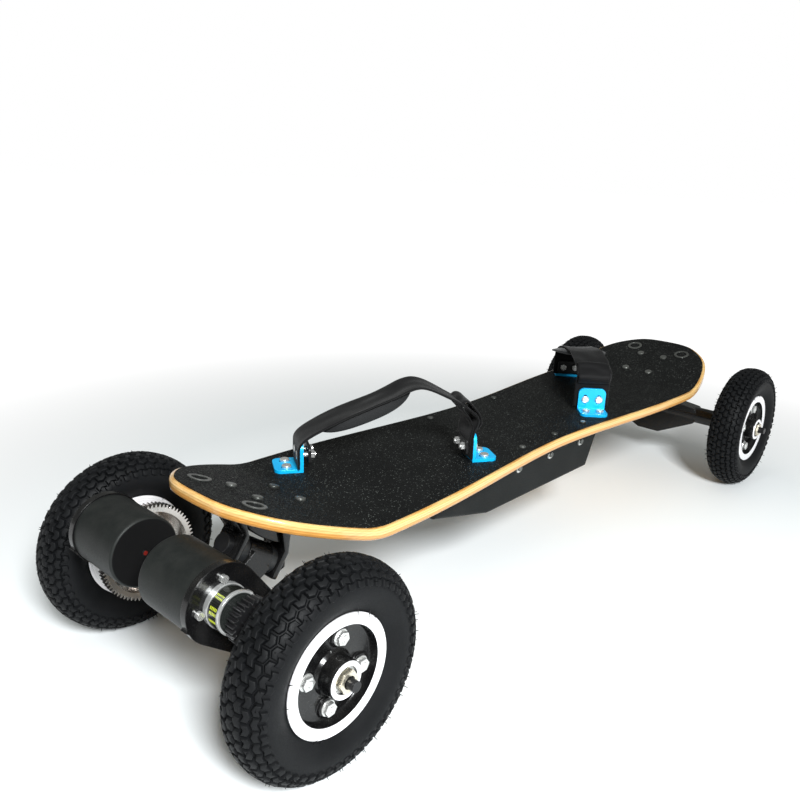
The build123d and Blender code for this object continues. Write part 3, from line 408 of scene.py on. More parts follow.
def gritTape():
    look = {
        "colour": (0.003, 0.0034, 0.0034), "patch": (0.006, 0.0066, 0.0063), "paintedGlint": (0.12, 0.13, 0.12),
        "cell": 0.0011, "share": 0.955, "depth": 0.0005,
    }
    finish, tree, shader = startFinish("gritTape", **{"Specular IOR Level": 0.16})
    place = objectPlace(tree)
    grit = addNode(tree, "ShaderNodeTexVoronoi", {"Vector": place, "Scale": 1 / look["cell"]})
    shade = addNode(tree, "ShaderNodeSeparateColor", {0: grit.outputs["Color"]})
    # a few grit cells get lighter flecks: painted glints of the grit
    chosen = calc(tree, "GREATER_THAN", shade.outputs[0], look["share"])
    paintedGlint = times(tree, chosen, spread(tree, shade.outputs[1], 0.0, 1.0, 0.1, 0.9))
    worn = useGroup(tree, fineGrain, Size=0.0006)
    base = blendColour(tree, worn["Patches"], look["colour"], look["patch"])
    colour = blendColour(tree, paintedGlint, base, look["paintedGlint"])
    rough = spread(tree, shade.outputs[2], 0.0, 1.0, 0.45, 0.95)
    height = plus(tree, grit.outputs["Distance"], times(tree, worn["Height"], 0.5))
    wire(tree, shader, Base_Color=colour, Roughness=rough, Normal=bumped(tree, height, look["depth"], 0.9))
    return finish


def tyreRubber():
    look = {
        "colour": (0.003, 0.0034, 0.004), "other": (0.0052, 0.0056, 0.0064), "dust": (0.02, 0.021, 0.021),
        "gloss": (0.48, 0.68), "depth": 0.0002,
    }
    finish, tree, shader = startFinish("tyreRubber", **{"Specular IOR Level": 0.14})
    grain = useGroup(tree, fineGrain, Size=0.0009, Detail=5.0)
    dust = useGroup(tree, settledDust, Amount=0.25, Size=0.012)
    body = blendColour(tree, grain["Patches"], look["colour"], look["other"])
    colour = blendColour(tree, dust["Mask"], body, look["dust"])
    rough = fromNoise(tree, grain["Height"], *look["gloss"])
    wire(
        tree, shader, Base_Color=colour, Roughness=rough,
        Normal=bumped(tree, grain["Height"], look["depth"], 0.6),
    )
    return finish


def polishedRing(centreX):
    side = "front" if centreX > 0 else "rear"
    finish, tree, shader = startFinish(f"{side}PolishedRing", Metallic=0.3)
    marks = useGroup(tree, latheMarks, CentreX=centreX, CentreZ=board["wheelZ"], Pitch=0.00035)
    edge = useGroup(tree, softEdge, Radius=0.0004, Wear=3.0)
    colour = blendColour(tree, marks["Height"], (0.9, 0.89, 0.91), (0.96, 0.95, 0.97))
    # edges painted near white, partly for wear and partly as a painted highlight
    colour = blendColour(tree, edge["Edge"], colour, (0.97, 0.97, 0.97))
    normal = bumped(tree, marks["Height"], 0.00001, 0.2, edge["Normal"])
    wire(
        tree, shader, Base_Color=colour, Roughness=fromNoise(tree, marks["Height"], 0.24, 0.36),
        Normal=normal,
    )
    return finish


def motorShell():
    # dark can with a black inner end and one red dot in the middle of it
    look = {"endDepth": 0.0234, "endRadius": 0.0325, "dotDepth": 0.0232, "dotRadius": 0.0022}
    finish = finishes["motorShell"]
    tree = finish.node_tree
    shader = tree.nodes["Principled BSDF"]
    marks = useGroup(tree, latheMarks, CentreX=board["motorX"], CentreZ=board["motorZ"], Pitch=0.0008)
    depth = calc(tree, "ABSOLUTE", splitUp(tree, objectPlace(tree))[1])

    def within(deep, radius):
        return times(
            tree, calc(tree, "LESS_THAN", depth, deep), calc(tree, "LESS_THAN", marks["Radius"], radius),
        )

    endFace = within(look["endDepth"], look["endRadius"])
    dot = within(look["dotDepth"], look["dotRadius"])
    was = shader.inputs["Base Color"].links[0].from_socket
    dark = blendColour(tree, endFace, was, (0.004, 0.004, 0.0042))
    tree.links.new(blendColour(tree, dot, dark, (0.13, 0.008, 0.005)), shader.inputs["Base Color"])
    return finish


def gearheadMetal():
    # bright flange and end ring, dark core and face
    look = {"core": 0.0176, "dark": (0.012, 0.014, 0.013), "bright": (0.66, 0.67, 0.66)}
    finish, tree, shader = startFinish("gearheadMetal")
    marks = useGroup(tree, latheMarks, CentreX=board["motorX"], CentreZ=board["motorZ"], Pitch=0.0005)
    edge = useGroup(tree, softEdge, Radius=0.0005, Wear=3.0)
    bright = calc(tree, "GREATER_THAN", marks["Radius"], look["core"])
    colour = blendColour(tree, bright, look["dark"], look["bright"])
    # bright edges painted whiter, partly for wear and partly as a painted highlight
    colour = blendColour(tree, times(tree, edge["Edge"], bright), colour, (0.9, 0.9, 0.9))
    metal = times(tree, bright, 0.7)
    rough = fromNoise(tree, marks["Height"], 0.16, 0.34)
    normal = bumped(tree, marks["Height"], 0.00003, 0.5, edge["Normal"])
    wire(tree, shader, Base_Color=colour, Metallic=metal, Roughness=rough, Normal=normal)
    return finish


def printedWrap():
    # black film with plain blocks and one bar, no lettering; its rows are given in degrees round the gearhead
    look = {
        "film": (0.009, 0.01, 0.008), "print": (0.52, 0.6, 0.04), "from": 0.1045, "to": 0.1137,
        "bar": (186.0, 194.0), "tall": ((152.0, 160.0), (165.0, 173.0)), "tallBlocks": (0.0019, 0.4),
        "short": ((118.0, 123.0), (126.0, 131.0)), "shortBlocks": (0.0016, 0.45),
    }
    finish, tree, shader = startFinish("printedWrap", **{"Coat Weight": 0.6, "Coat Roughness": 0.1})
    marks = useGroup(tree, latheMarks, CentreX=board["motorX"], CentreZ=board["motorZ"], Pitch=0.001)
    along = calc(tree, "ABSOLUTE", splitUp(tree, objectPlace(tree))[1])
    degrees = times(tree, marks["Angle"], 180 / math.pi)
    turn = calc(tree, "MODULO", plus(tree, degrees, 360.0), 360.0)

    def between(value, low, high):
        return times(tree, calc(tree, "GREATER_THAN", value, low), calc(tree, "LESS_THAN", value, high))

    inside = between(along, look["from"], look["to"])

    def blocks(pitch, gap):
        return calc(tree, "GREATER_THAN", calc(tree, "FRACT", calc(tree, "DIVIDE", along, pitch)), gap)

    def rows(pair, pitch, gap):
        lines = [between(turn, *edges) for edges in pair]
        return times(tree, plus(tree, *lines), blocks(pitch, gap))

    bar = between(turn, *look["bar"])
    tall = rows(look["tall"], *look["tallBlocks"])
    short = rows(look["short"], *look["shortBlocks"])
    printed = times(tree, plus(tree, bar, plus(tree, tall, short), clamp=True), inside)
    colour = blendColour(tree, printed, look["film"], look["print"])
    wire(tree, shader, Base_Color=colour, Roughness=fromNoise(tree, marks["Height"], 0.22, 0.34))
    return finish


def wovenNylon():
    look = {
        "dark": (0.003, 0.003, 0.0034), "light": (0.011, 0.0115, 0.0125), "stitch": (0.03, 0.031, 0.034),
        "stitchAt": 0.0205, "stitchHalf": 0.0005, "stitchPitch": 0.0042, "depth": 0.00035,
    }
    sheen = {"Sheen Weight": 0.08, "Sheen Roughness": 0.4, "Specular IOR Level": 0.18}
    finish, tree, shader = startFinish("wovenNylon", **sheen)
    weave = useGroup(tree, plainWeave, Thread=0.0011, Rib=0.0019)
    fluff = useGroup(tree, fineGrain, Size=0.0005)
    uv = uvPlace(tree)
    side = calc(tree, "ABSOLUTE", uv[0])
    offLine = calc(tree, "ABSOLUTE", calc(tree, "SUBTRACT", side, look["stitchAt"]))
    onLine = calc(tree, "LESS_THAN", offLine, look["stitchHalf"])
    dash = calc(
        tree, "GREATER_THAN", calc(tree, "FRACT", calc(tree, "DIVIDE", uv[1], look["stitchPitch"])), 0.3,
    )
    stitch = times(tree, onLine, dash)
    cloth = blendColour(tree, weave["Height"], look["dark"], look["light"])
    height = plus(tree, weave["Height"], plus(tree, times(tree, fluff["Height"], 0.4), stitch))
    colour = blendColour(tree, stitch, cloth, look["stitch"])
    rough = spread(tree, weave["Thread"], 0.0, 1.0, 0.55, 0.8)
    wire(tree, shader, Base_Color=colour, Roughness=rough, Normal=bumped(tree, height, look["depth"], 0.8))
    return finish


def knitCover():
    look = {
        "dark": (0.004, 0.0045, 0.005), "light": (0.01, 0.011, 0.012), "stitches": 900.0, "depth": 0.0003,
    }
    sheen = {"Sheen Weight": 0.12, "Sheen Roughness": 0.5, "Specular IOR Level": 0.18}
    finish, tree, shader = startFinish("knitCover", **sheen)
    place = objectPlace(tree)
    knit = addNode(tree, "ShaderNodeTexVoronoi", {"Vector": place, "Scale": look["stitches"]})
    fluff = useGroup(tree, fineGrain, Size=0.0016, Detail=5.0)
    cloth = blendColour(tree, knit.outputs["Distance"], look["dark"], look["light"])
    colour = blendColour(tree, fluff["Patches"], cloth, look["light"])
    height = plus(tree, knit.outputs["Distance"], fluff["Height"])
    rough = fromNoise(tree, fluff["Height"], 0.65, 0.9)
    wire(tree, shader, Base_Color=colour, Roughness=rough, Normal=bumped(tree, height, look["depth"], 0.7))
    return finish


finishes["frontRing"] = polishedRing(board["axleX"])
finishes["rearRing"] = polishedRing(-board["axleX"])
ownLooks = (maplePly, gritTape, tyreRubber, motorShell, gearheadMetal, printedWrap, wovenNylon, knitCover)
for makeLook in ownLooks:
    finishes[makeLook.__name__] = makeLook()
print("finishes ready:", len(finishes))

# finish of every part that keeps its own shape
worn = {
    "deck": "maplePly",
    "grip_tape": "gritTape",
    "truck_bolts": "eyeletMetal",
    "tip_rings": "eyeletMetal",
    "battery_box": "caseShell",
    "box_gasket": "softRubber",
    "box_clips": "zincSteel",
    "box_screws": "eyeletMetal",
    "battery_pack": "shrinkFilm",
    "speed_controller": "blackOxide",
    "button_bezel": "zincSteel",
    "power_button": "satinBlackPaint",
    "charge_port": "blackOxide",
    "charge_cap": "softRubber",
    "pivot_bolts": "blackOxide",
    "truck_bushings": "bushingRubber",
    "strap_brackets": "blueAnodised",
    "strap_bolts": "zincSteel",
    "strap_plates": "satinBlackPaint",
    "motor_cores": "copperCore",
    "gearhead_sleeves": "printedWrap",
    "motor_screws": "zincSteel",
}
for end in ("front", "rear"):
    worn[f"{end}_hanger"] = "glossBlackPaint"
    worn[f"{end}_axle"] = "blackOxide"
    worn[f"{end}_axle_nuts"] = "goldZinc"
    for side in ("left", "right"):
        worn[f"{end}_{side}_bearings"] = "zincSteel"
for side in ("left", "right"):
    worn[f"rear_{side}_drive_gear"] = "gearSteel"
    worn[f"{side}_motor_mount"] = "glossBlackPaint"
    worn[f"{side}_motor_can"] = "motorShell"
    worn[f"{side}_gearhead"] = "gearheadMetal"
    worn[f"{side}_pinion"] = "blackOxide"
for node, look in worn.items():
    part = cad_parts[node]
    part.data.materials.clear()
    part.data.materials.append(finishes[look])


# a finished bmesh becomes a piece that rides on its body
def keepPiece(name, bm, looks, body, replaced=()):
    mesh = bpy.data.meshes.new(name)
    bm.to_mesh(mesh)
    bm.free()
    mesh.shade_smooth()
    for look in looks:
        mesh.materials.append(finishes[look])
    piece = addObject(name, mesh)
    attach(piece, body)
    if replaced:
        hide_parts(*replaced)
    return piece


def faceOutward(bm):
    bmesh.ops.recalc_face_normals(bm, faces=bm.faces)


def softenEdges(bm, edges, offset, segments=2, profile=0.5, **more):
    kind = {"affect": "EDGES", "material": -1, "offset_type": "OFFSET"}
    bmesh.ops.bevel(bm, geom=edges, offset=offset * mm, segments=segments, profile=profile, **kind, **more)


def sharpen(piece, degrees):
    piece.data.set_sharp_from_angle(angle=math.radians(degrees))


def spinSection(bm, points, steps):
    # a closed section of (radius, y) turned once round the Y axis
    corners = [bm.verts.new((r * mm, y * mm, 0)) for r, y in points]
    edges = [bm.edges.new(pair) for pair in zip(corners, corners[1:] + corners[:1])]
    bmesh.ops.spin(bm, geom=corners + edges, axis=(0, 1, 0), cent=(0, 0, 0), steps=steps, angle=math.tau)
    bmesh.ops.remove_doubles(bm, verts=bm.verts, dist=0.01 * mm)
    faceOutward(bm)


# tyres: millimetres, and degrees for the leans
tyreShape = {
    "steps": 120,
    "section": [
        (54.2, 13.4), (56.4, 15.2), (59.4, 17.0), (62.0, 18.9), (66.5, 21.6), (71.5, 23.5), (76.5, 24.3),
        (81.5, 23.7), (86.2, 21.6), (90.2, 18.0), (93.4, 13.2), (95.6, 7.2), (96.4, 0.0),
    ],
    "pitches": 50,
    # y, radius, lean, length, width, height and bend of each row of blocks
    "rows": [
        (0.0, 95.9, 0.0, 10.6, 6.4, 4.1, 2.6),
        (7.2, 95.3, 10.0, 10.6, 6.4, 3.9, -2.6),
        (13.7, 92.9, 28.0, 10.4, 6.2, 3.8, 2.4),
        (18.8, 88.9, 46.0, 10.0, 5.8, 3.4, -2.2),
        (22.4, 83.9, 66.0, 7.6, 6.2, 2.4, 1.4),
    ],
    "blockTop": (0.87, 0.85),  # share of its length and width that a block keeps at its top
    "blockEdge": 0.5,
    "hairRadii": (0.5, 0.28),
    "hairs": 130,
    "hairLong": (3.5, 6.0),
    "hairLean": 14,
    "hairSeats": [(19.8, 90.8, 48.0), (23.2, 85.5, 62.0), (14.2, 94.4, 28.0)],
    "beadHairs": 14,
    "beadHairLong": (4.0, 7.0),
    "beadHairLean": 8,
    "beadSeat": (17.4, 58.2, 152.0),
    "seed": 7,
}


def treadBlock(length, width, height, bend):
    # one bent tread block, its base at z = 0
    bm = bmesh.new()
    made = bmesh.ops.create_grid(bm, x_segments=2, y_segments=1, size=0.5)["verts"]
    for v in made:
        middle = 1.0 if abs(v.co.x) < 0.1 else 0.0
        v.co = Vector((v.co.x * length, v.co.y * width + bend * (middle - 0.5), 0)) * mm
    raised = bmesh.ops.extrude_face_region(bm, geom=bm.faces[:])["geom"]
    top = [v for v in raised if isinstance(v, bmesh.types.BMVert)]
    keepLength, keepWidth = tyreShape["blockTop"]
    for v in top:
        v.co = Vector((v.co.x * keepLength, v.co.y * keepWidth, height * mm))
    rim = [
        e for e in bm.edges
        if all(v in top for v in e.verts) and any(v not in top for f in e.link_faces for v in f.verts)
    ]
    softenEdges(bm, rim, tyreShape["blockEdge"])
    faceOutward(bm)
    return asMesh(bm)


def mouldingHair(long):
    bm = bmesh.new()
    root, tip = tyreShape["hairRadii"]
    bmesh.ops.create_cone(bm, segments=4, radius1=root * mm, radius2=tip * mm, depth=long, cap_ends=True)
    bmesh.ops.translate(bm, vec=(0, 0, long * 0.42), verts=bm.verts)
    return asMesh(bm)


def asMesh(bm):
    mesh = bpy.data.meshes.new("shape")
    bm.to_mesh(mesh)
    bm.free()
    return mesh


def addAt(bm, mesh, matrix):
    # joins a finished shape to bm, moved into place, and lets the shape go
    start = len(bm.verts)
    bm.from_mesh(mesh)
    bm.verts.ensure_lookup_table()
    bmesh.ops.transform(bm, matrix=matrix, verts=bm.verts[start:])
    bpy.data.meshes.remove(mesh)


def tyreSeat(r, y, lean, turn):
    # a place on the tyre at radius r, its Z leaning out by lean
    n = Vector((math.cos(lean), math.sin(lean), 0))
    t = Vector((-math.sin(lean), math.cos(lean), 0))
    leant = Matrix((Vector((0, 0, -1)), t, n)).transposed().to_4x4()
    return Matrix.Rotation(turn, 4, "Y") @ (Matrix.Translation((r * mm, y * mm, 0)) @ leant)


def makeTyre():
    draw = random.Random(tyreShape["seed"])
    bm = bmesh.new()
    half = tyreShape["section"]
    spinSection(bm, half + [(r, -y) for r, y in reversed(half[:-1])], tyreShape["steps"])
    tread = bmesh.new()
    step = math.tau / tyreShape["pitches"]
    for i, (y, r, lean, length, width, high, bend) in enumerate(tyreShape["rows"]):
        for sign in (1, -1) if y else (1,):
            block = treadBlock(length, width, high, bend * sign if y else bend)
            addAt(tread, block, tyreSeat(r, y * sign, math.radians(lean * sign), step / 2 * (i % 2)))
    around = {
        "axis": (0, 1, 0), "cent": (0, 0, 0), "steps": tyreShape["pitches"] - 1, "angle": math.tau - step,
    }
    bmesh.ops.spin(
        tread, geom=tread.verts[:] + tread.edges[:] + tread.faces[:], use_duplicate=True, **around,
    )
    spare = tyreShape["hairLean"]
    for _ in range(tyreShape["hairs"]):  # hairs left by the mould on new rubber
        hair = mouldingHair(draw.uniform(*tyreShape["hairLong"]) * mm)
        y, r, lean = draw.choice(tyreShape["hairSeats"])
        sign = draw.choice((1, -1))
        leaning = math.radians((lean + draw.uniform(-spare, spare)) * sign)
        addAt(tread, hair, tyreSeat(r, y * sign, leaning, draw.uniform(0, math.tau)))
    y, r, lean = tyreShape["beadSeat"]
    spare = tyreShape["beadHairLean"]
    for i in range(tyreShape["beadHairs"]):  # the few that lie over the rim
        hair = mouldingHair(draw.uniform(*tyreShape["beadHairLong"]) * mm)
        sign = (1, -1)[i % 2]
        leaning = math.radians((lean + draw.uniform(-spare, spare)) * sign)
        addAt(tread, hair, tyreSeat(r, y * sign, leaning, draw.uniform(0, math.tau)))
    addAt(bm, asMesh(tread), Matrix.Identity(4))
    return bm


def placeWheel(bm, end, side):
    x = board["axleX"] if end == "front" else -board["axleX"]
    y = board["wheelY"] if side == "left" else -board["wheelY"]
    bmesh.ops.translate(bm, vec=(x, y, board["wheelZ"]), verts=bm.verts)


tyreMesh = asMesh(makeTyre())
# how far each wheel has rolled, in radians
wheelTurns = {"front_left": 0.4, "front_right": 1.3, "rear_left": 2.2, "rear_right": 0.0}
for corner, turn in wheelTurns.items():
    end, side = corner.split("_")
    bm = bmesh.new()
    bm.from_mesh(tyreMesh)
    bmesh.ops.rotate(bm, cent=(0, 0, 0), matrix=Matrix.Rotation(turn, 3, "Y"), verts=bm.verts)
    placeWheel(bm, end, side)
    piece = keepPiece(
        f"{corner}_treaded_tyre", bm, ["tyreRubber"], f"{corner}_wheel", [f"{corner}_tyre"],
    )
    sharpen(piece, 38)
bpy.data.meshes.remove(tyreMesh)
print("tyres done")

# wheel hubs: the outer half as a section, mirrored for the inner one
hubShape = {
    "steps": 96,
    "section": [
        (14.2, 3.6), (50.6, 3.6), (50.6, 0.0), (54.0, 0.0), (54.0, 14.9), (56.1, 15.7), (56.2, 17.1),
        (55.5, 17.8), (46.4, 17.8), (45.6, 17.2), (45.2, 10.4), (43.6, 8.2), (39.0, 7.2), (27.0, 7.2),
        (21.2, 8.0), (18.9, 10.6), (17.9, 22.8), (17.3, 24.9), (16.6, 25.8), (13.4, 25.8), (12.6, 25.0),
        (12.5, 22.05), (14.2, 22.05),
    ],
    "boltCircle": 32.0,
    "firstBolt": 78.0,
    "brightRing": (45.3, 15.0),  # inner radius and lowest y of the bright ring
    "brightBoss": (12.4, 17.5, 24.6),  # inner and outer radius and lowest y of the boss rim
    "padRadius": 10.2,
    "padTaper": 0.8,
    "padHigh": 3.4,
    "padMiddle": 8.25,
    "padEdge": 0.5,
}


def boltSpot(i, y=0.0):
    # the middle of hub bolt i, as a move from the middle of the wheel
    angle = math.radians(hubShape["firstBolt"]) + i * math.tau / 4
    circle = hubShape["boltCircle"] * mm
    return Matrix.Translation((circle * math.cos(angle), y * mm, circle * math.sin(angle)))


def makeHub():
    bm = bmesh.new()
    ringFrom, ringLow = hubShape["brightRing"]
    bossFrom, bossTo, bossLow = hubShape["brightBoss"]
    spinSection(bm, hubShape["section"], hubShape["steps"])
    for f in bm.faces:  # bright ring and bright boss rim
        spot = f.calc_center_median()
        r, y = math.hypot(spot.x, spot.z) / mm, spot.y / mm
        onRing = r > ringFrom and y > ringLow
        onBoss = bossFrom < r < bossTo and y > bossLow
        f.material_index = 1 if onRing or onBoss else 0
    wide, high, middle = hubShape["padRadius"], hubShape["padHigh"], hubShape["padMiddle"]
    radii = {"radius1": wide * mm, "radius2": (wide - hubShape["padTaper"]) * mm}
    for i in range(4):
        pad = bmesh.ops.create_cone(bm, segments=32, depth=high * mm, cap_ends=True, **radii)["verts"]
        bmesh.ops.transform(
            bm, matrix=boltSpot(i, middle) @ Matrix.Rotation(-math.pi / 2, 4, "X"), verts=pad,
        )
        rim = [
            e for e in {e for v in pad for e in v.link_edges}
            if all(v.co.y > middle * mm for v in e.verts)
        ]
        softenEdges(bm, rim, hubShape["padEdge"])
    return bm


for corner in wheelTurns:
    end, side = corner.split("_")
    halfMesh = asMesh(makeHub())
    bm = bmesh.new()
    bm.from_mesh(halfMesh)
    bmesh.ops.scale(bm, vec=(1, -1, 1), verts=bm.verts)
    bm.from_mesh(halfMesh)
    bpy.data.meshes.remove(halfMesh)
    faceOutward(bm)
    placeWheel(bm, end, side)
    piece = keepPiece(
        f"{corner}_dished_hub", bm, ["glossBlackPaint", f"{end}Ring"], f"{corner}_wheel",
        [f"{corner}_hub"],
    )
    sharpen(piece, 35)

hubBoltShape = {
    "washer": 7.8,
    "head": 6.7,
    "high": 5.0,
    "end": 3.8,  # radius of the shank
    "face": 10.0,  # y of the hub face under the washer
    "gearPlate": 3.0,  # the drive gear's plate, which makes the rear bolts longer
    "hexEdge": 0.7,
}


def turnedBit(bm, points, steps, place):
    # a small solid of (radius, height) points, turned round Y at a place
    made = bmesh.new()
    spinSection(made, points, steps)
    addAt(bm, asMesh(made), place)


def hexBit(bm, across, low, high, place, turn):
    # a hexagon with its outer corners rounded off, low to high along Y
    bit = bmesh.new()
    radii = {"radius1": across * mm, "radius2": across * mm}
    bmesh.ops.create_cone(bit, segments=6, depth=abs(high - low) * mm, cap_ends=True, **radii)
    rim = [e for e in bit.edges if all(v.co.z > 0 for v in e.verts)]
    softenEdges(bit, rim, hubBoltShape["hexEdge"], profile=0.6)
    out = 1 if high > low else -1
    flip = Matrix.Rotation(-math.pi / 2 * out, 4, "X")
    middle = Matrix.Translation((0, (low + high) / 2 * mm, 0))
    addAt(bm, asMesh(bit), place @ middle @ Matrix.Rotation(turn, 4, "Y") @ flip)


def makeHubBolts(stack, draw):
    s = hubBoltShape
    bm = bmesh.new()
    back = -s["face"] - stack
    for i in range(4):
        spot = boltSpot(i)
        for out, face in ((1, s["face"]), (-1, back)):
            washer = [
                (s["end"], face), (s["washer"] - 0.3, face), (s["washer"], face + out * 0.4),
                (s["washer"] - 0.4, face + out * 1.2), (s["end"], face + out * 1.2),
            ]
            turnedBit(bm, washer, 28, spot)
            hexBit(bm, s["head"], face + out * 1.0, face + out * s["high"], spot, draw.uniform(0, 1))
        far = s["face"] + s["high"]
        shank = [
            (0.02, back - 6.4), (s["end"] - 0.8, back - 6.4), (s["end"], back - 5.8), (s["end"], far - 0.6),
            (s["end"] - 0.6, far + 0.5), (s["end"] - 1.5, far + 0.5), (s["end"] - 1.8, far - 0.6),
            (0.02, far - 0.8),
        ]
        turnedBit(bm, shank, 20, spot)
    faceOutward(bm)
    return bm


spanner = random.Random(4)
for corner in wheelTurns:
    end, side = corner.split("_")
    bm = makeHubBolts(hubBoltShape["gearPlate"] if end == "rear" else 0.0, spanner)
    if side == "right":
        bmesh.ops.scale(bm, vec=(1, -1, 1), verts=bm.verts)
        bmesh.ops.reverse_faces(bm, faces=bm.faces)
    placeWheel(bm, end, side)
    piece = keepPiece(
        f"{corner}_hub_bolt_set", bm, ["zincSteel"], f"{corner}_wheel",
        [f"{corner}_hub_bolts"],
    )
    sharpen(piece, 35)
print("hubs done")

# baseplates: a ribbed casting between deck and pivot bolt
castShape = {
    "kickAt": 427.0,
    "kickZ": 161.0 + 58.0 * board["kickSlope"],
    "kick": math.radians(17.8),
    "pivot": (437.0, 130.0),
    "tilt": math.radians(35.0),
    "plate": (92.0, 62.0, 8.0),
    "legHalf": 17.0,
    "ribHalf": 12.0,
    "ring": 15.0,
    "near": 25.2,  # the legs' inner and outer faces along the pivot bolt
    "far": 34.2,
    "legFeet": ((-1, -16, -36), (1, 26, 45)),  # side, then each leg's inner and outer foot
    "footAt": -5,
    "plateEdge": 2.0,
    "legEdge": 2.2,
    "ribEdge": 1.4,
    "archAt": (-28, -18, -9, 0, 9, 18, 28),
    "archRise": 19.0,
    "archBow": 3.0,
    "archFeet": (30, -22),
}


def turnedSpot(origin, angle, along, up):
    x = origin[0] + along * math.cos(angle) - up * math.sin(angle)
    return (x, origin[1] + along * math.sin(angle) + up * math.cos(angle))


def kickSpot(along, up):
    return turnedSpot((castShape["kickAt"], castShape["kickZ"]), castShape["kick"], along, up)


def pivotSpot(along, up):
    return turnedSpot(castShape["pivot"], castShape["tilt"], along, up)


def slab(bm, outline, half, soften):
    # an outline of (x, z) points made solid between -half and half along Y
    piece = bmesh.new()
    face = piece.faces.new([piece.verts.new((x * mm, -half * mm, z * mm)) for x, z in outline])
    raised = bmesh.ops.extrude_face_region(piece, geom=[face])["geom"]
    bmesh.ops.translate(
        piece, vec=(0, 2 * half * mm, 0), verts=[v for v in raised if isinstance(v, bmesh.types.BMVert)],
    )
    faceOutward(piece)
    softenEdges(piece, piece.edges[:], soften, 3, clamp_overlap=True)
    addAt(bm, asMesh(piece), Matrix.Identity(4))


def makeBaseplate():
    c = castShape
    bm = bmesh.new()
    length, width, thick = c["plate"]
    ends = ((-length / 2, -thick), (length / 2, -thick), (length / 2, -0.02), (-length / 2, -0.02))
    slab(bm, [kickSpot(*spot) for spot in ends], width / 2, c["plateEdge"])
    for side, inner, outer in c["legFeet"]:
        near = [pivotSpot(side * c["near"], up) for up in (-c["ring"], c["ring"])]
        far = [pivotSpot(side * c["far"], up) for up in (c["ring"], -c["ring"])]
        feet = [kickSpot(along, c["footAt"]) for along in (inner, outer)]
        slab(bm, near + feet + far, c["legHalf"], c["legEdge"])
    reach = c["archAt"][-1]
    arch = [pivotSpot(a, c["archRise"] + c["archBow"] * (a / reach) ** 2) for a in c["archAt"]]
    slab(bm, arch + [kickSpot(along, c["footAt"]) for along in c["archFeet"]], c["ribHalf"], c["ribEdge"])
    return bm


for end in ("front", "rear"):
    bm = makeBaseplate()
    if end == "rear":
        bmesh.ops.scale(bm, vec=(-1, 1, 1), verts=bm.verts)
    faceOutward(bm)
    piece = keepPiece(
        f"{end}_cast_baseplate", bm, ["glossBlackPaint"], "board", [f"{end}_baseplate"],
    )
    sharpen(piece, 40)
print("baseplates done")

# foot straps, in millimetres from the middle of each strap
strapShape = {
    "width": 50.0,
    "cloth": 2.6,
    "foot": 37.0,
    "peakShift": 30.0,
    "shoulder": 58.0,
    "shoulderOut": 6.5,
    "end": 2.8,  # centre line to bracket face
    "along": 150,
    "across": 14,
}
strapSets = {
    "rear": {
        "place": (-0.235, 0.005), "turn": -33.0, "span": 200.0, "peak": 97.0, "shoulder": 74.0,
        "foot": -105.6,  # outside its bracket's wall
        "bulge": 0.0, "wave": 3.0, "foldWave": 5.0,
    },
    "front": {
        "place": (0.206, 0.008), "turn": 221.0, "span": 190.0, "peak": 74.0, "shoulder": 66.0,
        "foot": -92.2, "bulge": 7.0, "wave": 8.0, "foldWave": 2.0,
    },
}


def smoothLine(points, rounds):
    # cuts the corners of a run of points, keeping its two ends
    line = [Vector(p) for p in points]
    for _ in range(rounds):
        cut = [line[0]]
        for a, b in zip(line, line[1:]):
            cut += [a.lerp(b, 0.25), a.lerp(b, 0.75)]
        line = cut + [line[-1]]
    return line


def pointAlong(line, share):
    lengths = [(b - a).length for a, b in zip(line, line[1:])]
    left = share * sum(lengths)
    for a, b, size in zip(line, line[1:], lengths):
        if left <= size:
            return a.lerp(b, left / max(size, 1e-9)), (b - a).normalized()
        left -= size
    return line[-1].copy(), (line[-1] - line[-2]).normalized()


def lineLength(line):
    return sum((b - a).length for a, b in zip(line, line[1:]))


def ribbon(bm, line, width, along, across, crown, waviness, seed):
    # a strip of cloth along a line in the XZ plane, its UV in metres
    grid = bmesh.ops.create_grid(bm, x_segments=along, y_segments=across, size=0.5, calc_uvs=True)["verts"]
    uvLayer = bm.loops.layers.uv.verify()
    size = lineLength(line)
    sides = {}
    for v in grid:
        share, side = v.co.x + 0.5, v.co.y * 2
        spot, direction = pointAlong(line, share)
        normal = Vector((-direction.z, 0, direction.x))
        wave = noise.noise(Vector((share * 9, side * 1.5, seed))) * waviness
        rise = (crown * (1 - side * side) + wave) * math.sin(math.pi * min(1, max(0, share)))
        sides[v] = (side * width / 2 * mm, share * size * mm)
        v.co = (spot + normal * rise + Vector((0, side * width / 2, 0))) * mm
    for f in {f for v in grid for f in v.link_faces}:
        for loop in f.loops:
            loop[uvLayer].uv = sides[loop.vert]


def strapMatrix(where):
    turn = Matrix.Rotation(math.radians(where["turn"]), 4, "Z")
    return Matrix.Translation((*where["place"], board["deckTop"])) @ turn


def subdivide(piece):
    softer = piece.modifiers.new("softer", "SUBSURF")
    softer.levels = softer.render_levels = 1


def addThickness(piece, thickness):
    wall = piece.modifiers.new("thickness", "SOLIDIFY")
    wall.thickness = thickness * mm
    wall.offset = 0
    wall.use_even_offset = True
    subdivide(piece)


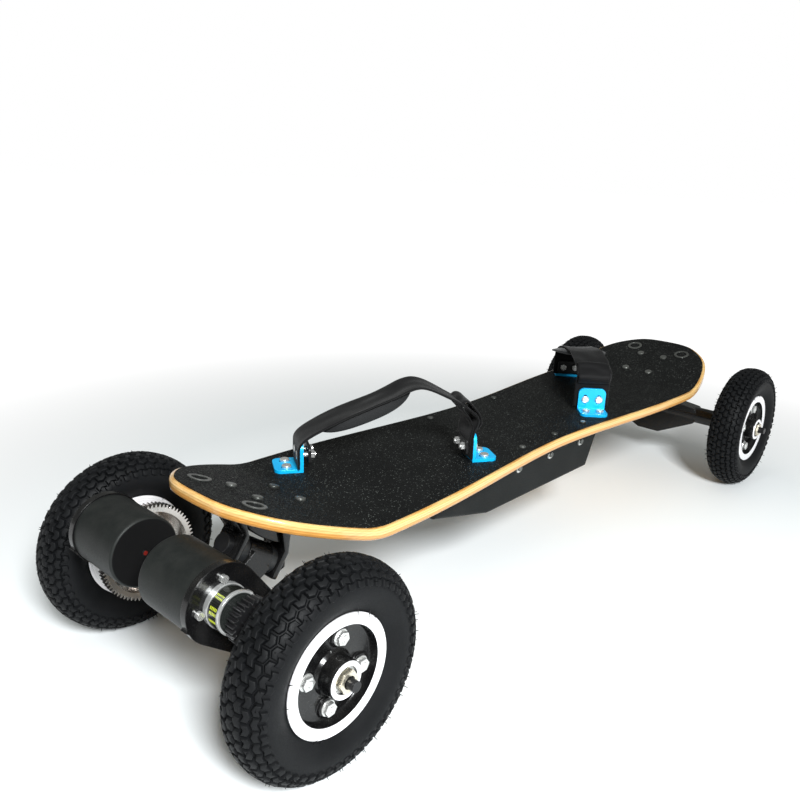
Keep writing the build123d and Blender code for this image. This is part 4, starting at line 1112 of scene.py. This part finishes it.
def strapLine(where):
    end = where["span"] / 2 - strapShape["end"]
    s, peak = strapShape, where["peak"]
    start = -end
    rise = (peak - s["foot"]) / (s["peakShift"] - start)

    def onRun(x):
        return s["foot"] + 6 + (x - start) * rise

    foot, bulge, crest = where["foot"], where["bulge"], s["peakShift"]
    highSide = [(foot, 5.0), (foot, 22.0), (foot, 33.0), (-end + 5, onRun(-end + 2) + bulge / 2)]
    run = [(-end + 34, onRun(-end + 34) + bulge), (crest - 34, onRun(crest - 34) - 6 + bulge)]
    top = [(crest - 6, peak - 1), (crest + 14, peak - 3), (end - 16, where["shoulder"])]
    lowSide = [
        (end + s["shoulderOut"] - 1, s["shoulder"] + 1), (end + 5.5, s["foot"] + 11), (end, s["foot"] + 2),
        (end, 20.0), (end, 5.0),
    ]
    return smoothLine([(x, 0, z) for x, z in highSide + run + top + lowSide], 3)


for end, where in strapSets.items():
    line = strapLine(where)
    bm = bmesh.new()
    ribbon(
        bm, line, strapShape["width"], strapShape["along"], strapShape["across"], -1.4, 1.6, where["wave"],
    )
    bmesh.ops.transform(bm, matrix=strapMatrix(where), verts=bm.verts)
    strap = keepPiece(f"{end}_strap_webbing", bm, ["wovenNylon"], "board", [f"{end}_foot_strap"])
    addThickness(strap, strapShape["cloth"])

    # the spare end, folded back over the low side and pressed down
    edge = where["span"] / 2 - strapShape["end"]
    top = where["shoulder"]
    tail = smoothLine([
        (edge - 3.2, 0, 22), (edge - 2.4, 0, 36), (edge + 1.0, 0, 47), (edge - 9, 0, top - 13),
        (edge - 17, 0, top - 4), (edge - 10, 0, top + 4), (edge + 4, 0, top - 8), (edge + 11, 0, 52),
        (edge + 7, 0, 43), (edge + 3.2, 0, 42),
    ], 3)
    bm = bmesh.new()
    ribbon(bm, tail, strapShape["width"] - 4, 60, 10, 0.8, 1.5, where["foldWave"])
    bmesh.ops.transform(bm, matrix=strapMatrix(where), verts=bm.verts)
    fold = keepPiece(f"{end}_strap_folded_end", bm, ["wovenNylon"], "board")
    addThickness(fold, strapShape["cloth"] - 0.6)
print("webbing done")

padShape = {
    "length": 118.0,
    "width": 80.0,
    "thick": 10.0,
    "middle": 0.36,  # share of the strap's length where the pad's middle is
    "gap": 1.2,
}


def padOutline(share):
    # leaf shaped, blunt at both ends
    return (1 - abs(share * 2 - 1) ** 2.6) ** 0.62 * 0.96 + 0.04


for end, where in strapSets.items():
    line = strapLine(where)
    total = lineLength(line)
    middle = padShape["middle"]
    half = padShape["length"] / 2 / total
    path = [pointAlong(line, middle - half + 2 * half * i / 24) for i in range(25)]
    lower = padShape["thick"] * 0.5 + padShape["gap"]
    under = [spot - Vector((-way.z, 0, way.x)) * lower for spot, way in path]
    bm = bmesh.new()
    bmesh.ops.create_cube(bm, size=1.0)
    bmesh.ops.subdivide_edges(bm, edges=bm.edges[:], cuts=15, use_grid_fill=True)
    for v in bm.verts:
        share, side, up = v.co.x + 0.5, v.co.y * 2, v.co.z * 2
        narrow = padOutline(min(0.999, max(0.001, share)))
        spot, way = pointAlong(under, share)
        normal = Vector((-way.z, 0, way.x))
        puff = (1 - abs(side) ** 3) * 0.8 + 0.2
        lift = up * padShape["thick"] / 2 * puff * min(1, narrow + 0.15)
        v.co = (spot + normal * lift + Vector((0, side * padShape["width"] / 2 * narrow, 0))) * mm
    bmesh.ops.smooth_vert(bm, verts=bm.verts, factor=0.5, use_axis_x=True, use_axis_y=True, use_axis_z=True)
    faceOutward(bm)
    bmesh.ops.transform(bm, matrix=strapMatrix(where), verts=bm.verts)
    pad = keepPiece(f"{end}_strap_padding", bm, ["knitCover"], "board", [f"{end}_strap_pad"])
    subdivide(pad)
print("padding done")

# floor, light and camera, in metres and radians
studio = {
    "camera": (-0.872036, -0.58255, 0.51421),
    "yaw": 0.730,
    "pitch": 0.296,
    "roll": 0.041,
    "lens": 35.578,
    "floorNear": (0.93, 0.96, 0.97),
    "floorFar": (1.0, 1.0, 1.0),
    "fade": (0.6, 1.25),  # from its middle, where the floor starts to glow and where it only glows
    "glow": 1.12,
    "roomColour": (0.93, 0.95, 0.9),
    "roomLight": 0.24,
    "lights": {
        "windowLight": {
            "place": (-1.15, -1.45, 1.35), "aim": (-0.2, 0, 0.1), "size": (0.5, 0.5), "power": 80.0,
            "colour": (0.97, 0.99, 1.0),
        },
        "ceilingLight": {
            "place": (-0.3, 0.2, 2.4), "aim": (0, 0, 0.1), "size": (2.4, 2.0), "power": 6.0,
            "colour": (0.98, 1.0, 1.0),
        },
    },
}


def studioFloor():
    bm = bmesh.new()
    bmesh.ops.create_grid(bm, x_segments=1, y_segments=1, size=14.0)
    mesh = bpy.data.meshes.new("studioFloor")
    bm.to_mesh(mesh)
    bm.free()
    floor = addObject("studioFloor", mesh)
    finish, tree, shader = startFinish("studioFloor", Roughness=0.55)
    place = objectPlace(tree)
    far = addNode(tree, "ShaderNodeVectorMath", {0: place}, operation="LENGTH").outputs["Value"]
    fade = spread(tree, far, *studio["fade"])
    wire(tree, shader, Base_Color=blendColour(tree, fade, studio["floorNear"], studio["floorFar"]))
    glow = addNode(tree, "ShaderNodeEmission", {"Color": (1, 1, 1, 1), "Strength": studio["glow"]})
    mixed = addNode(tree, "ShaderNodeMixShader", {0: fade, 1: shader.outputs[0], 2: glow.outputs[0]})
    tree.links.new(mixed.outputs[0], tree.nodes["Material Output"].inputs["Surface"])
    mesh.materials.append(finish)


def studioLight(name, values):
    light = bpy.data.lights.new(name, "AREA")
    light.shape = "RECTANGLE"
    light.size, light.size_y = values["size"]
    light.energy = values["power"]
    light.color = values["colour"]
    lamp = addObject(name, light)
    lamp.location = values["place"]
    lamp.rotation_mode = "QUATERNION"
    lamp.rotation_quaternion = (Vector(values["aim"]) - Vector(values["place"])).to_track_quat("-Z", "Y")


def studioWorld():
    world = bpy.data.worlds.new("paleRoom")
    bpy.context.scene.world = world
    world.use_nodes = True
    tree = world.node_tree
    shade = tree.nodes["Background"]
    seen = addNode(tree, "ShaderNodeLightPath").outputs["Is Camera Ray"]
    tree.links.new(blendColour(tree, seen, studio["roomColour"], (1.0, 1.0, 1.0)), shade.inputs["Color"])
    tree.links.new(spread(tree, seen, 0.0, 1.0, studio["roomLight"], 1.0), shade.inputs["Strength"])


def studioCamera():
    yaw, pitch, roll = studio["yaw"], studio["pitch"], studio["roll"]
    ahead = Vector((math.cos(yaw) * math.cos(pitch), math.sin(yaw) * math.cos(pitch), -math.sin(pitch)))
    level = Vector((math.sin(yaw), -math.cos(yaw), 0))
    upright = level.cross(ahead)
    right = level * math.cos(roll) + upright * math.sin(roll)
    up = upright * math.cos(roll) - level * math.sin(roll)
    lens = bpy.data.cameras.new("studioCamera")
    lens.lens, lens.sensor_width = studio["lens"], 36.0
    camera = addObject("studioCamera", lens)
    facing = Matrix((right, up, -ahead)).transposed().to_4x4()
    camera.matrix_world = Matrix.Translation(studio["camera"]) @ facing
    bpy.context.scene.camera = camera


studioFloor()
studioWorld()
for name, values in studio["lights"].items():
    studioLight(name, values)
studioCamera()
bpy.context.scene.view_settings.view_transform = "Standard"
print("studio ready")
